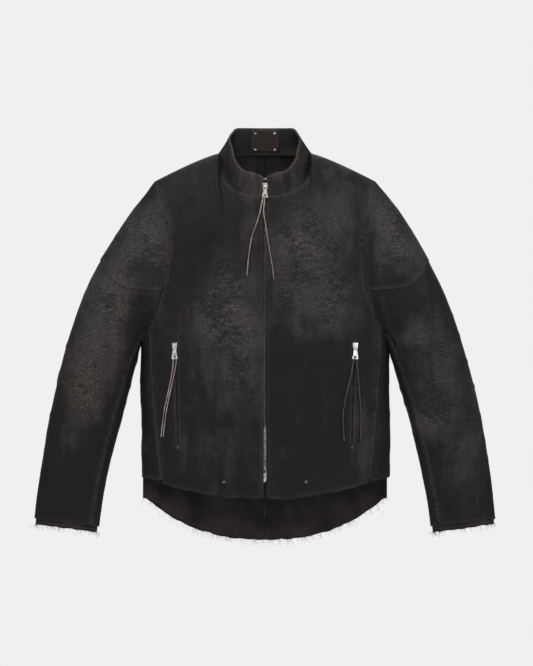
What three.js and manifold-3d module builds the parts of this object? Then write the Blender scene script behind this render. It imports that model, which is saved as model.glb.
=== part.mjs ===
// A raw-edged leather jacket with a stand collar, a full-length front zip, two upright pocket zips,
// two-piece sleeves and a dropped back tail, hanging closed with its arms down.
//
// Millimetres, +Z up, the front faces -Y and the wearer's left is +X. The origin is the nape:
// the middle of the back neck seam. Everything on the left is modelled once and mirrored.

import * as THREE from 'three';
import { mergeVertices } from 'three/addons/utils/BufferGeometryUtils.js';
import Module from 'manifold-3d';

const wasm = await Module();
wasm.setup();

// ---------------------------------------------------------------- driving dimensions

const LEATHER = 1.6;                 // thickness of the outer leather
const LINING = 0.8;                  // thickness of the lining cloth
const SEAM_GAP = 0.6;                // running gap between two pieces at a seam
const SEAT_GAP = 0.3;                // gap between a piece and what it sits on

const HALF_CHEST = 249;              // centre line to the side, pit level
const HALF_DEPTH = 62;               // centre of the body to the centre front
const ROLL_HEIGHT = 150;             // height over which the shoulders round into the front and back
const NECK_HALF_WIDTH = 93;
const NECK_FRONT_DEPTH = 62;
const NECK_BACK_DEPTH = 40;
const NECK_DROP = 88;                // nape down to the front neck point
const NECK_POWER = 2.5;              // 2 is an ellipse, more is squarer
const SHOULDER_X = 221;
const SHOULDER_DROP = 56;
const SHOULDER_POWER = 1.2;
const PIT_Z = -379;
const ARMHOLE_CUT = 41;              // how far the armhole cuts in behind a straight line
const ARMHOLE_POWER = 0.8;
const SIDE_SEAM_TOP_Z = -343;
const SIDE_TOP_POWER = 2.45;         // how sharply the side panel's top edge turns up at its seams
const FRONT_SEAM_CUT = 22.4;         // how far the front seam leans in, from the armhole to the hem
const FRONT_SEAM_POWER = 1.6;
const BACK_SEAM_FLARE = 7.6;         // how far the back seam leans out
const FRONT_HEM_Z = -692;
const FRONT_HEM_RISE = 30;
const SIDE_HEM_Z = -647;
const SIDE_HEM_FRONT_DROP = 8;
const TAIL_Z = -777;
const TAIL_RISE = 83;
const TAIL_POWER = 2.45;
const TAIL_HALF_WIDTH = 236;

const COLLAR_TOP = [                 // from the centre front, round the left side, to the centre back
  [0, -62, -49], [24, -59.5, -39], [41, -54, -36], [54, -45, -25], [64, -30, -8], [67, -17, 10],
  [71, 0, 31], [65, 14, 43], [58, 24, 51], [35, 33, 52], [0, 37, 52],
];
const COLLAR_EDGE_X = 3.9;           // centre line to the collar's front edge
const COLLAR_SIDE = 0.6;             // share of the collar's run that lies in front of the side
const SPLIT_GAP = 0.003;             // half of the gap at the collar's split, as a share of its run
const FACING_DEPTH = 3.8;            // collar's outer face to the facing behind it
const FACING_START = 0.028;          // the facing stops short of the zip
const PATCH_REACH = 0.078;           // half of the neck patch, as a share of the collar's run
const PATCH_LOW = 0.09;
const PATCH_HIGH = 0.95;
const PATCH_THICKNESS = 1.2;
const PATCH_RIVET_REACH = 0.056;
const PATCH_RIVET_ROWS = [0.79, 0.16];

const FOLD_TOP_X = 80;               // the front folds open along a line from the neckline to the hem
const FOLD_HEM_X = 110;
const FOLD_TOP_Z = -55;

const SLEEVE_OUTER = [[221, -56], [388, -247], [436, -488], [462, -732]];
const SLEEVE_INNER = [[249, -379], [277, -502], [316, -622], [331, -748]];
const SLEEVE_LAG = 2.2;              // the rings start along the armhole and end square at the cuff
const SLEEVE_DEPTHS = [44, 56, 42, 24];
const SLEEVE_FADE = 0.35;            // share of the sleeve over which the armhole's shape dies out
const SLEEVE_GAP = 1.0;              // running gap between the sleeve and the armhole
const CAP_SEAM = 0.26;               // where the cap seam meets the sleeve's outer edge
const CAP_END = 111;                 // angle at which the cap seam meets the armhole
const CAP_POWER = 5;
const CAP_BLUNT = 6;                 // the cap's corners stop this many degrees short
const CAP_GAP = 0.002;               // running gap at the cap seam, as a share of the sleeve
const UNDER_FRONT = [153, 137];      // front seam of the under sleeve, at the armhole and at the cuff
const UNDER_BACK = 260;
const SLEEVE_SEAM_DEGREES = 0.5;     // half of the gap at a sleeve seam
const CUFF_LINING_SHOW = 0.014;      // how far the sleeve lining hangs out of the cuff
const SLEEVE_LINING_SEAM = 1;        // half of the gap at the lining's one seam, in degrees

const LINING_DEPTH = 4.3;            // outer face of the leather to the lining
const SLEEVE_LINING_DEPTH = 3.4;
const POCKET_ROOM = 6.5;             // how much further in the lining lies behind a pocket
const POCKET_ROOM_INNER = 105;
const POCKET_ROOM_OUTER = 72;
const LINING_START_X = 12;

const EDGE_X = 3.1;                  // centre of a zip to the leather edge and to the tape
const TEETH_X = [0.9, 2.8];
const TEETH_Y = [0.5, 3.9];
const TAPE_Y = [2.6, 3.4];
const MAIN_TAPE_X = 18;
const COLLAR_TAPE_X = 9;
const COLLAR_TAPE_Z = [-94, -86];    // the tape narrows over this height, behind the collar
const ZIP_TOP_Z = -50.5;
const STOP_LENGTH = 4;
const STOP_PROUD = 0.3;
const TEETH_END_Z = -636;
const TAPE_END_Z = -684;
const PIN_LENGTH = 19;
const PIN_X = [0.9, 2.5];
const BOX_X = [-2.8, 0.5];
const BOX_Z = [-21, -4];             // below the end of the teeth
const BOX_PROUD = 0.4;
const MAIN_HINGE_Z = -70;            // axis of the main pull
const MAIN_PULL = 20;
const POCKET_PULL = 24;

const SLIDER_HALF_WIDTH = 5.2;
const SLIDER_FRONT_Y = [-2.3, -0.5];
const SLIDER_BACK_Y = [5.2, 6.6];
const SLIDER_TOP = 8.5;              // above the pull's axis
const SLIDER_BOTTOM = -6;
const SLIDER_NECK = 0.55;
const SLIDER_NECK_HEIGHT = 5;
const SLIDER_TAPER = [1, 2.4];       // the plates narrow by this much above and at their foot
const SLIDER_FOOT = 2;
const WELD = 0.5;                    // how far joined solids run into each other
const CROWN_WALL = 1.1;
const CROWN_Z = [-3, 3.8];
const CROWN_REACH = 6.3;
const CROWN_HALF_WIDTH = 1.5;
const CROWN_CORNER = 1;
const PULL_Y = [-4.6, -3.2];
const PULL_BAR = 0.7;
const PULL_WINDOW = 5.2;
const PULL_WINDOW_HALF = 1.8;
const PULL_TOP_HALF = 3.5;
const PULL_FOOT_HALF = 6;
const PULL_EYE = 2.6;
const PULL_RIM = 1.6;
const PULL_NECK = 1.5;
const PULL_FOOT = 2.5;

const POCKET_TOP = [180, -388];      // x and z of the pull's axis, and of the rivet at the foot
const POCKET_FOOT = [173.8, -589];
const SLOT_TOP = 9.5;
const CHAIN_END = -190;
const CHAIN_STOP = 3;
const SLOT_END = -194;
const SLOT_CUT = 8;
const POCKET_TAPE_SPARE = [8, 6];    // the tape past the slot, below and above
const CHAIN_TOP = 8.5;
const POCKET_TAPE_X = 12;
const BAG_REACH = 64;
const BAG_DEPTH = 7.4;
const BAG_WALL = 1.2;
const BAG_LIP = 4;
const BAG_END = -215;
const RIVET_RADIUS = 2.6;
const RIVET_HEIGHT = 1.3;
const STUD_X = 82;
const STUD_Z = -657;
const STUD_RADIUS = 3.5;
const STUD_HEIGHT = 2.2;

const PROFILE_DOME = [[0, 0], [1, 0], [0.92, 0.45], [0.55, 0.88], [0, 1]];
const PROFILE_STUD = [[0, 0], [1, 0], [1, 0.6], [0.8, 1], [0, 1]];

const LACE_RADIUS = 1.2;
const LACE_STEP = 5;
const MAIN_LACE = [
  [18, -64.6, -254], [14, -64.9, -222], [9, -65.1, -194], [2, -65.2, -155], [-3, -65.3, -118],
  [-0.6, -65.7, -95.6], [-3, -65.9, -91.6], [-5.4, -65.7, -95.6], [-10, -65.3, -118], [-17, -65, -142],
  [-26, -64.6, -168], [-31, -64.2, -196], [-34, -64, -222], [-36, -64, -246],
];
const LEFT_LACE = [
  [158.4, -51, -577], [155.8, -51.5, -531], [158.8, -51, -501], [169, -48.6, -457],
  [177, -47.3, -417], [178.8, -47, -413.6], [181.2, -46.5, -413.6], [183, -46.3, -417],
  [187, -44.2, -457], [190.5, -43.2, -501], [192, -42.8, -540], [191, -43, -577],
];
const RIGHT_LACE = [
  [-208, -37.2, -568], [-201, -40.2, -513], [-192, -43, -472], [-184, -45.4, -430],
  [-183, -46.3, -417], [-181.2, -46.5, -413.6], [-178.8, -47, -413.6], [-177, -47.3, -417],
  [-179.2, -47, -430], [-188, -44.4, -472], [-196.6, -41.8, -513], [-203.6, -39, -568],
];

const INNER_COLUMNS = 7;             // columns of a front inside its fold, and of the collar there
const SIDE_COLUMNS = 3;              // columns from the fold to the side of the neck
const NAPE_COLUMNS = 6;              // columns from the side of the neck to the nape
const FRONT_COLUMNS = 9;             // columns of a front outside its fold
const BACK_COLUMNS = 8;
const NECK_SHARE = 0.5;              // share of the back's columns that lie inside the neck point
const PANEL_ROWS = 12;               // a third in the shoulder roll, a third beside the armhole
const SIDE_ROWS = 7;
const COLLAR_ROWS = 3;
const PATCH_COLUMNS = 6;
const CAP_COLUMNS = 10;
const CAP_ROWS = 4;
const TOP_COLUMNS = 14;
const UNDER_COLUMNS = 8;
const LINING_COLUMNS = 20;
const SLEEVE_ROWS = 9;
const HOLE_SEGMENTS = 10;
const HEAD_SEGMENTS = 12;
const LACE_SEGMENTS = 4;

// ---------------------------------------------------------------- materials

const finish = (color, roughness, metalness = 0) =>
  new THREE.MeshStandardMaterial({ color, roughness, metalness });
const leather = finish(0x2b2927, 0.55);
const wornLeather = finish(0x4a403b, 0.6);
const liningCloth = finish(0x332e2c, 0.85);
const tapeCloth = finish(0x1d1c1c, 0.9);
const nickel = finish(0xc9c8c4, 0.3, 1);
const lace = finish(0xb5a29b, 0.65);

// ---------------------------------------------------------------- solids

/** A closed skin of even thickness. surface(u, v) gives its outer face, u running left to right
 *  and v downwards as seen from outside; depth is how far inside that face the skin starts.
 *  surface.inward(point), if there is one, gives the way in; otherwise it is square to the face. */
function skin(surface, columns, rows, thickness, depth = 0) {
  const geometry = new THREE.BoxGeometry(1, 1, 1, columns, rows, 1);
  const position = geometry.attributes.position;
  const step = 1e-4;
  for (let i = 0; i < position.count; i++) {
    const u = position.getX(i) + 0.5;
    const v = 0.5 - position.getY(i);
    const point = surface(u, v);
    const across = surface(Math.min(1, u + step), v).sub(surface(Math.max(0, u - step), v));
    const down = surface(u, Math.min(1, v + step)).sub(surface(u, Math.max(0, v - step)));
    const inward = surface.inward ? surface.inward(point) : across.cross(down).normalize();
    point.addScaledVector(inward, depth + (0.5 - position.getZ(i)) * thickness);
    position.setXYZ(i, point.x, point.y, point.z);
  }
  // the inner face's squares are split along the same diagonals as the outer face's
  const index = geometry.index.array;
  const { start, count } = geometry.groups[5];
  for (let i = start; i < start + count; i += 6) {
    const [a, b, d, , c] = index.slice(i, i + 6);
    index.set([a, b, c, a, c, d], i);
  }
  return geometry;
}

/** A flat outline in x and z, thick from y[0] at the front to y[1] at the back. */
function plate(outline, y, holes = []) {
  const shape = new THREE.Shape(outline.map(([x, z]) => new THREE.Vector2(x, z)));
  for (const hole of holes) shape.holes.push(hole);
  const geometry = new THREE.ExtrudeGeometry(shape, {
    depth: y[1] - y[0], bevelEnabled: false, curveSegments: HOLE_SEGMENTS,
  });
  return geometry.rotateX(Math.PI / 2).translate(0, y[1], 0);
}

/** A box between two opposite corners. */
function block(x, y, z) {
  return new THREE.BoxGeometry(x[1] - x[0], y[1] - y[0], z[1] - z[0])
    .translate((x[0] + x[1]) / 2, (y[0] + y[1]) / 2, (z[0] + z[1]) / 2);
}

/** A round head that stands out towards -Y from y = 0; its profile is in shares of its size. */
function head(profile, radius, height) {
  const points = profile.map(([out, up]) => new THREE.Vector2(out * radius, up * height));
  return new THREE.LatheGeometry(points, HEAD_SEGMENTS).rotateX(Math.PI);
}

function solid(geometry) {
  const bare = geometry.clone();
  bare.deleteAttribute('normal');
  bare.deleteAttribute('uv');
  const merged = mergeVertices(bare, 1e-5);
  return new wasm.Manifold(new wasm.Mesh({
    numProp: 3,
    vertProperties: new Float32Array(merged.attributes.position.array),
    triVerts: new Uint32Array(merged.index.array),
  }));
}

function toGeometry(manifold) {
  const mesh = manifold.getMesh();
  const geometry = new THREE.BufferGeometry();
  geometry.setAttribute('position', new THREE.BufferAttribute(mesh.vertProperties, 3));
  geometry.setIndex(new THREE.BufferAttribute(mesh.triVerts, 1));
  return geometry;
}

const join = (first, ...rest) =>
  toGeometry(rest.reduce((whole, piece) => whole.add(solid(piece)), solid(first)));
const cut = (body, tool) => toGeometry(solid(body).subtract(solid(tool)));

function part(parent, name, geometry, material) {
  const mesh = new THREE.Mesh(geometry, material);
  mesh.name = name;
  parent.add(mesh);
  return mesh;
}

// ---------------------------------------------------------------- shape of the body, left half

const clamp01 = (value) => Math.min(1, Math.max(0, value));
const halfEllipse = (share) => Math.sqrt(Math.max(0, 1 - share * share));
const chestDepth = (x) => HALF_DEPTH * halfEllipse(x / HALF_CHEST);

const shoulderZ = (x) =>
  -SHOULDER_DROP * Math.max(0, (x - NECK_HALF_WIDTH) / (SHOULDER_X - NECK_HALF_WIDTH)) **
  SHOULDER_POWER;
const neckDip = (x) =>
  NECK_DROP * (1 - (x / NECK_HALF_WIDTH) ** NECK_POWER) ** (1 / NECK_POWER);
const frontTop = (x) => (x < NECK_HALF_WIDTH ? -neckDip(x) : shoulderZ(x));
const backTop = (x) => (x < NECK_HALF_WIDTH ? 0 : shoulderZ(x));

const roll = (drop) => halfEllipse(1 - clamp01(drop / ROLL_HEIGHT));
const faceDepth = (x, neckDepth, drop) => {
  const neck = neckDepth * halfEllipse(Math.min(1, x / NECK_HALF_WIDTH));
  return neck + (chestDepth(x) - neck) * roll(drop) + SEAM_GAP / 2 * (1 - roll(drop));
};
const frontY = (x, z) => -faceDepth(x, NECK_FRONT_DEPTH, frontTop(x) - z);
const backY = (x, z) => faceDepth(x, NECK_BACK_DEPTH, backTop(x) - z);

/** The way in from a face of the body; facing is 1 on the front and -1 on the back. */
const inwardFrom = (facing, neckDepth, topZ) => ({ x, z }) => {
  const depth = Math.max(1, chestDepth(x));
  const neck = neckDepth * halfEllipse(Math.min(1, x / NECK_HALF_WIDTH));
  const share = Math.min(1, Math.max(1e-4, (topZ(x) - z) / ROLL_HEIGHT));
  const fall = (1 - share) / halfEllipse(1 - share) / ROLL_HEIGHT;
  const turn = (HALF_DEPTH / HALF_CHEST) ** 2 * x / depth * halfEllipse(1 - share);
  return new THREE.Vector3(-turn, facing, -Math.max(0, depth - neck) * fall).normalize();
};
const frontInward = inwardFrom(1, NECK_FRONT_DEPTH, frontTop);
const backInward = inwardFrom(-1, NECK_BACK_DEPTH, backTop);

const armholeX = (z) => {
  const share = clamp01((-SHOULDER_DROP - z) / (-SHOULDER_DROP - PIT_Z));
  const straight = SHOULDER_X + (HALF_CHEST - SHOULDER_X) * share;
  return straight - ARMHOLE_CUT * Math.sin(Math.PI * share) ** ARMHOLE_POWER;
};
const seamTopX = armholeX(SIDE_SEAM_TOP_Z);
const belowSeamTop = (z) => Math.max(0, SIDE_SEAM_TOP_Z - z) / (SIDE_SEAM_TOP_Z - SIDE_HEM_Z);
const frontSeamX = (z) => seamTopX - FRONT_SEAM_CUT * belowSeamTop(z) ** FRONT_SEAM_POWER;
const backSeamX = (z) => seamTopX + BACK_SEAM_FLARE * Math.min(1, belowSeamTop(z));
const foldX = (z) => FOLD_TOP_X +
  (FOLD_HEM_X - FOLD_TOP_X) * Math.max(0, FOLD_TOP_Z - z) / (FOLD_TOP_Z - FRONT_HEM_Z);
const frontEdge = (z) => (z > SIDE_SEAM_TOP_Z ? armholeX(z) : frontSeamX(z)) - SEAM_GAP / 2;
const backEdge = (z) => (z > SIDE_SEAM_TOP_Z ? armholeX(z) : backSeamX(z)) - SEAM_GAP / 2;
const liningEdge = (z) => (z > PIT_Z ? armholeX(z) : HALF_CHEST) - SEAM_GAP / 2;

const frontHem = (x) => FRONT_HEM_Z + FRONT_HEM_RISE * (x / frontSeamX(SIDE_HEM_Z)) ** 2;
const tailHem = (x) => TAIL_Z + TAIL_RISE * Math.min(1, x / TAIL_HALF_WIDTH) ** TAIL_POWER;


/** How far below its top edge a panel's row lies. */
function rowDrop(v, top, length) {
  const zone = 3 * v;
  const pit = top - PIT_Z;
  if (zone < 1) return ROLL_HEIGHT * (1 - Math.cos(zone * Math.PI / 2));
  if (zone < 2) return ROLL_HEIGHT + (pit - ROLL_HEIGHT) * (zone - 1);
  return pit + (length - pit) * (zone - 2);
}

/** A panel of the body between two upright edges. topX(u) runs along its top edge. */
function bodyPanel({ topX, topZ, hemZ, depthY, inner, outer, inward }) {
  const surface = (u, v) => {
    const share = (topX(u) - topX(0)) / (topX(1) - topX(0));
    const between = (z) => inner(z) + share * (outer(z) - inner(z));
    const top = topZ(topX(u));
    const z = top - rowDrop(v, top, top - hemZ(between(SIDE_HEM_Z)));
    const x = between(z);
    return new THREE.Vector3(x, depthY(x, z), z);
  };
  return Object.assign(surface, { inward });
}

/** The same panel with its columns counted from the other end, for a face seen from behind. */
const fromBehind = (surface) =>
  Object.assign((u, v) => surface(1 - u, v), { inward: surface.inward });

/** Runs along the neckline in even turns, from one distance off the centre line to another. */
function alongNeck(from, to) {
  const [start, end] = [from, to].map((x) => Math.acos(x / NECK_HALF_WIDTH));
  return (u) => NECK_HALF_WIDTH * Math.cos(start + (end - start) * u);
}

/** Runs along the neckline from startX to the neck point, then along the shoulder. */
function neckAndShoulder(startX, neckShare) {
  const neck = alongNeck(startX, NECK_HALF_WIDTH);
  return (u) => (u < neckShare ? neck(u / neckShare)
    : NECK_HALF_WIDTH + (u - neckShare) / (1 - neckShare) * (SHOULDER_X - NECK_HALF_WIDTH));
}

const frontInner = (startX) => bodyPanel({
  topX: alongNeck(startX, FOLD_TOP_X), topZ: frontTop, hemZ: frontHem, depthY: frontY,
  inner: () => startX, outer: (z) => foldX(z) - SEAM_GAP / 2, inward: frontInward,
});
const frontOuter = (edge) => bodyPanel({
  topX: neckAndShoulder(FOLD_TOP_X, SIDE_COLUMNS / FRONT_COLUMNS), topZ: frontTop,
  hemZ: frontHem, depthY: frontY,
  inner: (z) => foldX(z) + SEAM_GAP / 2, outer: edge, inward: frontInward,
});
const backHalf = (edge) => fromBehind(bodyPanel({
  topX: neckAndShoulder(SEAM_GAP / 2, NECK_SHARE), topZ: backTop, hemZ: tailHem, depthY: backY,
  inner: () => SEAM_GAP / 2, outer: edge, inward: backInward,
}));

/** The side panel wraps from the front seam, under the arm, to the back seam. */
const sidePanel = (u, v) => {
  const turn = 2 * u - 1;
  const top = PIT_Z + (SIDE_SEAM_TOP_Z - PIT_Z) * Math.abs(turn) ** SIDE_TOP_POWER - SEAM_GAP;
  const hem = SIDE_HEM_Z - SIDE_HEM_FRONT_DROP * Math.max(0, -turn);
  const z = top + v * (hem - top);
  const edge = turn < 0 ? frontSeamX(z) : backSeamX(z);
  const angle = turn * Math.acos((edge + SEAM_GAP / 2) / HALF_CHEST);
  return new THREE.Vector3(
    HALF_CHEST * Math.cos(angle), HALF_DEPTH * Math.sin(angle), z);
};

/** Moves a face further in behind the pocket, where the pocket bag hangs. */
function roomForPocket(surface) {
  const deeper = (u, v) => {
    const point = surface(u, v);
    const away = point.x - POCKET_TOP[0];
    const reach = away < 0 ? POCKET_ROOM_INNER : POCKET_ROOM_OUTER;
    const room = (1 + Math.cos(Math.PI * Math.min(1, Math.abs(away) / reach))) / 2;
    point.y += POCKET_ROOM * room * roll(frontTop(point.x) - point.z);
    return point;
  };
  return Object.assign(deeper, { inward: surface.inward });
}

// ---------------------------------------------------------------- collar

const collarTop = new THREE.CatmullRomCurve3(COLLAR_TOP.map((p) => new THREE.Vector3(...p)));

/** The neckline: run 0 is the centre front, COLLAR_SIDE the side of the neck, 1 the nape. */
function neckline(run) {
  if (run < COLLAR_SIDE) {
    const angle = Math.PI / 2 * (1 - run / COLLAR_SIDE);
    const x = NECK_HALF_WIDTH * Math.cos(angle);
    return new THREE.Vector3(x, -NECK_FRONT_DEPTH * Math.sin(angle), -neckDip(x) + SEAM_GAP);
  }
  const angle = Math.PI / 2 * (run - COLLAR_SIDE) / (1 - COLLAR_SIDE);
  return new THREE.Vector3(
    NECK_HALF_WIDTH * Math.cos(angle), NECK_BACK_DEPTH * Math.sin(angle), SEAM_GAP);
}

/** A stretch of the collar from one run to another; a run over 1 is past the nape, on the right. */
function collar(from, to, low = 0, high = 1) {
  return (u, v) => {
    const run = from + (to - from) * u;
    const own = run > 1 ? 2 - run : run;
    const point = neckline(own).lerp(collarTop.getPoint(own), high + (low - high) * v);
    if (run > 1) point.x = -point.x;
    return point;
  };
}

const collarSplit = COLLAR_SIDE * (1 - Math.acos(FOLD_TOP_X / NECK_HALF_WIDTH) / (Math.PI / 2));
const collarEdge = COLLAR_SIDE * (1 - Math.acos(COLLAR_EDGE_X / NECK_HALF_WIDTH) / (Math.PI / 2));

/** The rear stretch of the collar, with its columns lined up with those of the panels below. */
const collarRear = (u, v) => {
  const column = (SIDE_COLUMNS + NAPE_COLUMNS) * (1 - Math.abs(2 * u - 1));
  const from = collarSplit + SPLIT_GAP;
  const run = column < SIDE_COLUMNS
    ? from + (COLLAR_SIDE - from) * column / SIDE_COLUMNS
    : COLLAR_SIDE + (1 - COLLAR_SIDE) * (column - SIDE_COLUMNS) / NAPE_COLUMNS;
  return collar(0, u > 0.5 ? 2 - run : run)(1, v);
};

// ---------------------------------------------------------------- sleeve, left

function bezier(points, t) {
  const s = 1 - t;
  const share = [s * s * s, 3 * s * s * t, 3 * s * t * t, t * t * t];
  return [0, 1].map((axis) => points.reduce((sum, p, i) => sum + p[axis] * share[i], 0));
}
const sleeveDepth = (t) => bezier(SLEEVE_DEPTHS.map((depth) => [depth, 0]), t)[0];

/** A point of the plain sleeve: angle 0 is the outer edge, 90 the front and 180 the inner edge. */
function sleeveRing(angle, t) {
  const outer = bezier(SLEEVE_OUTER, t);
  const inner = bezier(SLEEVE_INNER, t ** SLEEVE_LAG);
  const share = (1 + Math.cos(angle)) / 2;
  return new THREE.Vector3(
    inner[0] + (outer[0] - inner[0]) * share,
    -sleeveDepth(t) * Math.sin(angle),
    inner[1] + (outer[1] - inner[1]) * share,
  );
}

function sleevePoint(degrees, t) {
  const angle = THREE.MathUtils.degToRad(degrees);
  const start = sleeveRing(angle, 0);
  const x = armholeX(start.z);
  const armhole = new THREE.Vector3(x, Math.sign(-Math.sin(angle)) * -frontY(x, start.z), start.z);
  const fade = Math.max(0, 1 - t / SLEEVE_FADE) ** 2;
  const point = sleeveRing(angle, t).addScaledVector(armhole.sub(start), fade);
  point.x += SLEEVE_GAP;
  return point;
}

const capEnd = (degrees) => {
  const turn = Math.abs(degrees > 180 ? degrees - 360 : degrees) / CAP_END;
  return CAP_SEAM * Math.max(0, 1 - turn ** CAP_POWER);
};

const sleeveCap = (u, v) => {
  const degrees = (1 - 2 * u) * (CAP_END - CAP_BLUNT);
  return sleevePoint(degrees, v * (capEnd(degrees) - CAP_GAP));
};

/** Part of the sleeve below the cap seam, between two angles that may change along it. */
function sleevePart(from, to, end = 1) {
  return (u, v) => {
    const degrees = from(v) + (to(v) - from(v)) * u;
    const start = capEnd(degrees);
    return sleevePoint(degrees, start + v * (end - start));
  };
}

// ---------------------------------------------------------------- zip hardware
// Each zip is modelled at its pull's axis: x across, y from the leather's face inwards, z up.


function slider() {
  const [waist, foot] = SLIDER_TAPER.map((taper) => SLIDER_HALF_WIDTH - taper);
  const shield = [
    [-SLIDER_HALF_WIDTH, SLIDER_TOP], [-waist, SLIDER_BOTTOM + SLIDER_FOOT],
    [-foot, SLIDER_BOTTOM], [foot, SLIDER_BOTTOM],
    [waist, SLIDER_BOTTOM + SLIDER_FOOT], [SLIDER_HALF_WIDTH, SLIDER_TOP],
  ];
  const window = new THREE.Path([
    [CROWN_Z[0] + CROWN_WALL, SLIDER_FRONT_Y[0]], [CROWN_Z[1] - CROWN_WALL, SLIDER_FRONT_Y[0]],
    [CROWN_Z[1] - CROWN_WALL, -CROWN_REACH + CROWN_WALL],
    [CROWN_Z[0] + CROWN_WALL, -CROWN_REACH + CROWN_WALL],
  ].map(([z, y]) => new THREE.Vector2(z, y)));
  const crownShape = new THREE.Shape([
    [CROWN_Z[0], SLIDER_FRONT_Y[1] - WELD], [CROWN_Z[0], -CROWN_REACH + CROWN_CORNER],
    [CROWN_Z[0] + CROWN_CORNER, -CROWN_REACH], [CROWN_Z[1] - CROWN_CORNER, -CROWN_REACH],
    [CROWN_Z[1], -CROWN_REACH + CROWN_CORNER], [CROWN_Z[1], SLIDER_FRONT_Y[1] - WELD],
  ].map(([z, y]) => new THREE.Vector2(z, y)));
  crownShape.holes.push(window);
  const crown = new THREE.ExtrudeGeometry(crownShape, {
    depth: 2 * CROWN_HALF_WIDTH, bevelEnabled: false,
  }).applyMatrix4(new THREE.Matrix4().makeBasis(
    new THREE.Vector3(0, 0, 1), new THREE.Vector3(0, 1, 0), new THREE.Vector3(-1, 0, 0),
  )).translate(CROWN_HALF_WIDTH, 0, 0);
  const neck = block(
    [-SLIDER_NECK, SLIDER_NECK], [SLIDER_FRONT_Y[1] - WELD, SLIDER_BACK_Y[0] + WELD],
    [SLIDER_TOP - SLIDER_NECK_HEIGHT, SLIDER_TOP]);
  return join(plate(shield, SLIDER_FRONT_Y), plate(shield, SLIDER_BACK_Y), neck, crown);
}

function pull(length) {
  const waist = -PULL_WINDOW - PULL_NECK;
  const foot = -length;
  const outline = [
    [-PULL_TOP_HALF, PULL_BAR], [-PULL_TOP_HALF, waist], [-PULL_FOOT_HALF, foot + PULL_FOOT],
    [-PULL_FOOT_HALF, foot], [PULL_FOOT_HALF, foot], [PULL_FOOT_HALF, foot + PULL_FOOT],
    [PULL_TOP_HALF, waist], [PULL_TOP_HALF, PULL_BAR],
  ];
  const window = new THREE.Path([
    [-PULL_WINDOW_HALF, -PULL_WINDOW], [PULL_WINDOW_HALF, -PULL_WINDOW],
    [PULL_WINDOW_HALF, -PULL_BAR], [-PULL_WINDOW_HALF, -PULL_BAR],
  ].map(([x, z]) => new THREE.Vector2(x, z)));
  const eye = new THREE.Path().absarc(0, foot + PULL_EYE + PULL_RIM, PULL_EYE, 0, 2 * Math.PI);
  return plate(outline, PULL_Y, [window, eye]);
}

const dome = () => head(PROFILE_DOME, RIVET_RADIUS, RIVET_HEIGHT);

function laceTube(points) {
  const path = new THREE.CatmullRomCurve3(points.map((p) => new THREE.Vector3(...p)));
  const section = new THREE.Shape().absarc(0, 0, LACE_RADIUS, 0, 2 * Math.PI);
  return new THREE.ExtrudeGeometry(section, {
    extrudePath: path, steps: Math.round(path.getLength() / LACE_STEP), curveSegments: LACE_SEGMENTS,
    bevelEnabled: false,
  });
}

/** A group whose y axis runs inwards through the leather at a point of the front. */
function frontFrame(parent, origin, down, x) {
  const slope = HALF_DEPTH * x / (HALF_CHEST ** 2 * halfEllipse(x / HALF_CHEST));
  const up = down.clone().negate().normalize();
  const inward = new THREE.Vector3(-slope, 1, 0).normalize();
  const across = inward.clone().cross(up).normalize();
  const group = new THREE.Group();
  group.position.copy(origin);
  group.setRotationFromMatrix(new THREE.Matrix4().makeBasis(
    across, up.clone().cross(across).normalize(), up));
  parent.add(group);
  group.updateMatrixWorld(true);
  return group;
}

// ---------------------------------------------------------------- one side of the jacket

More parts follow.
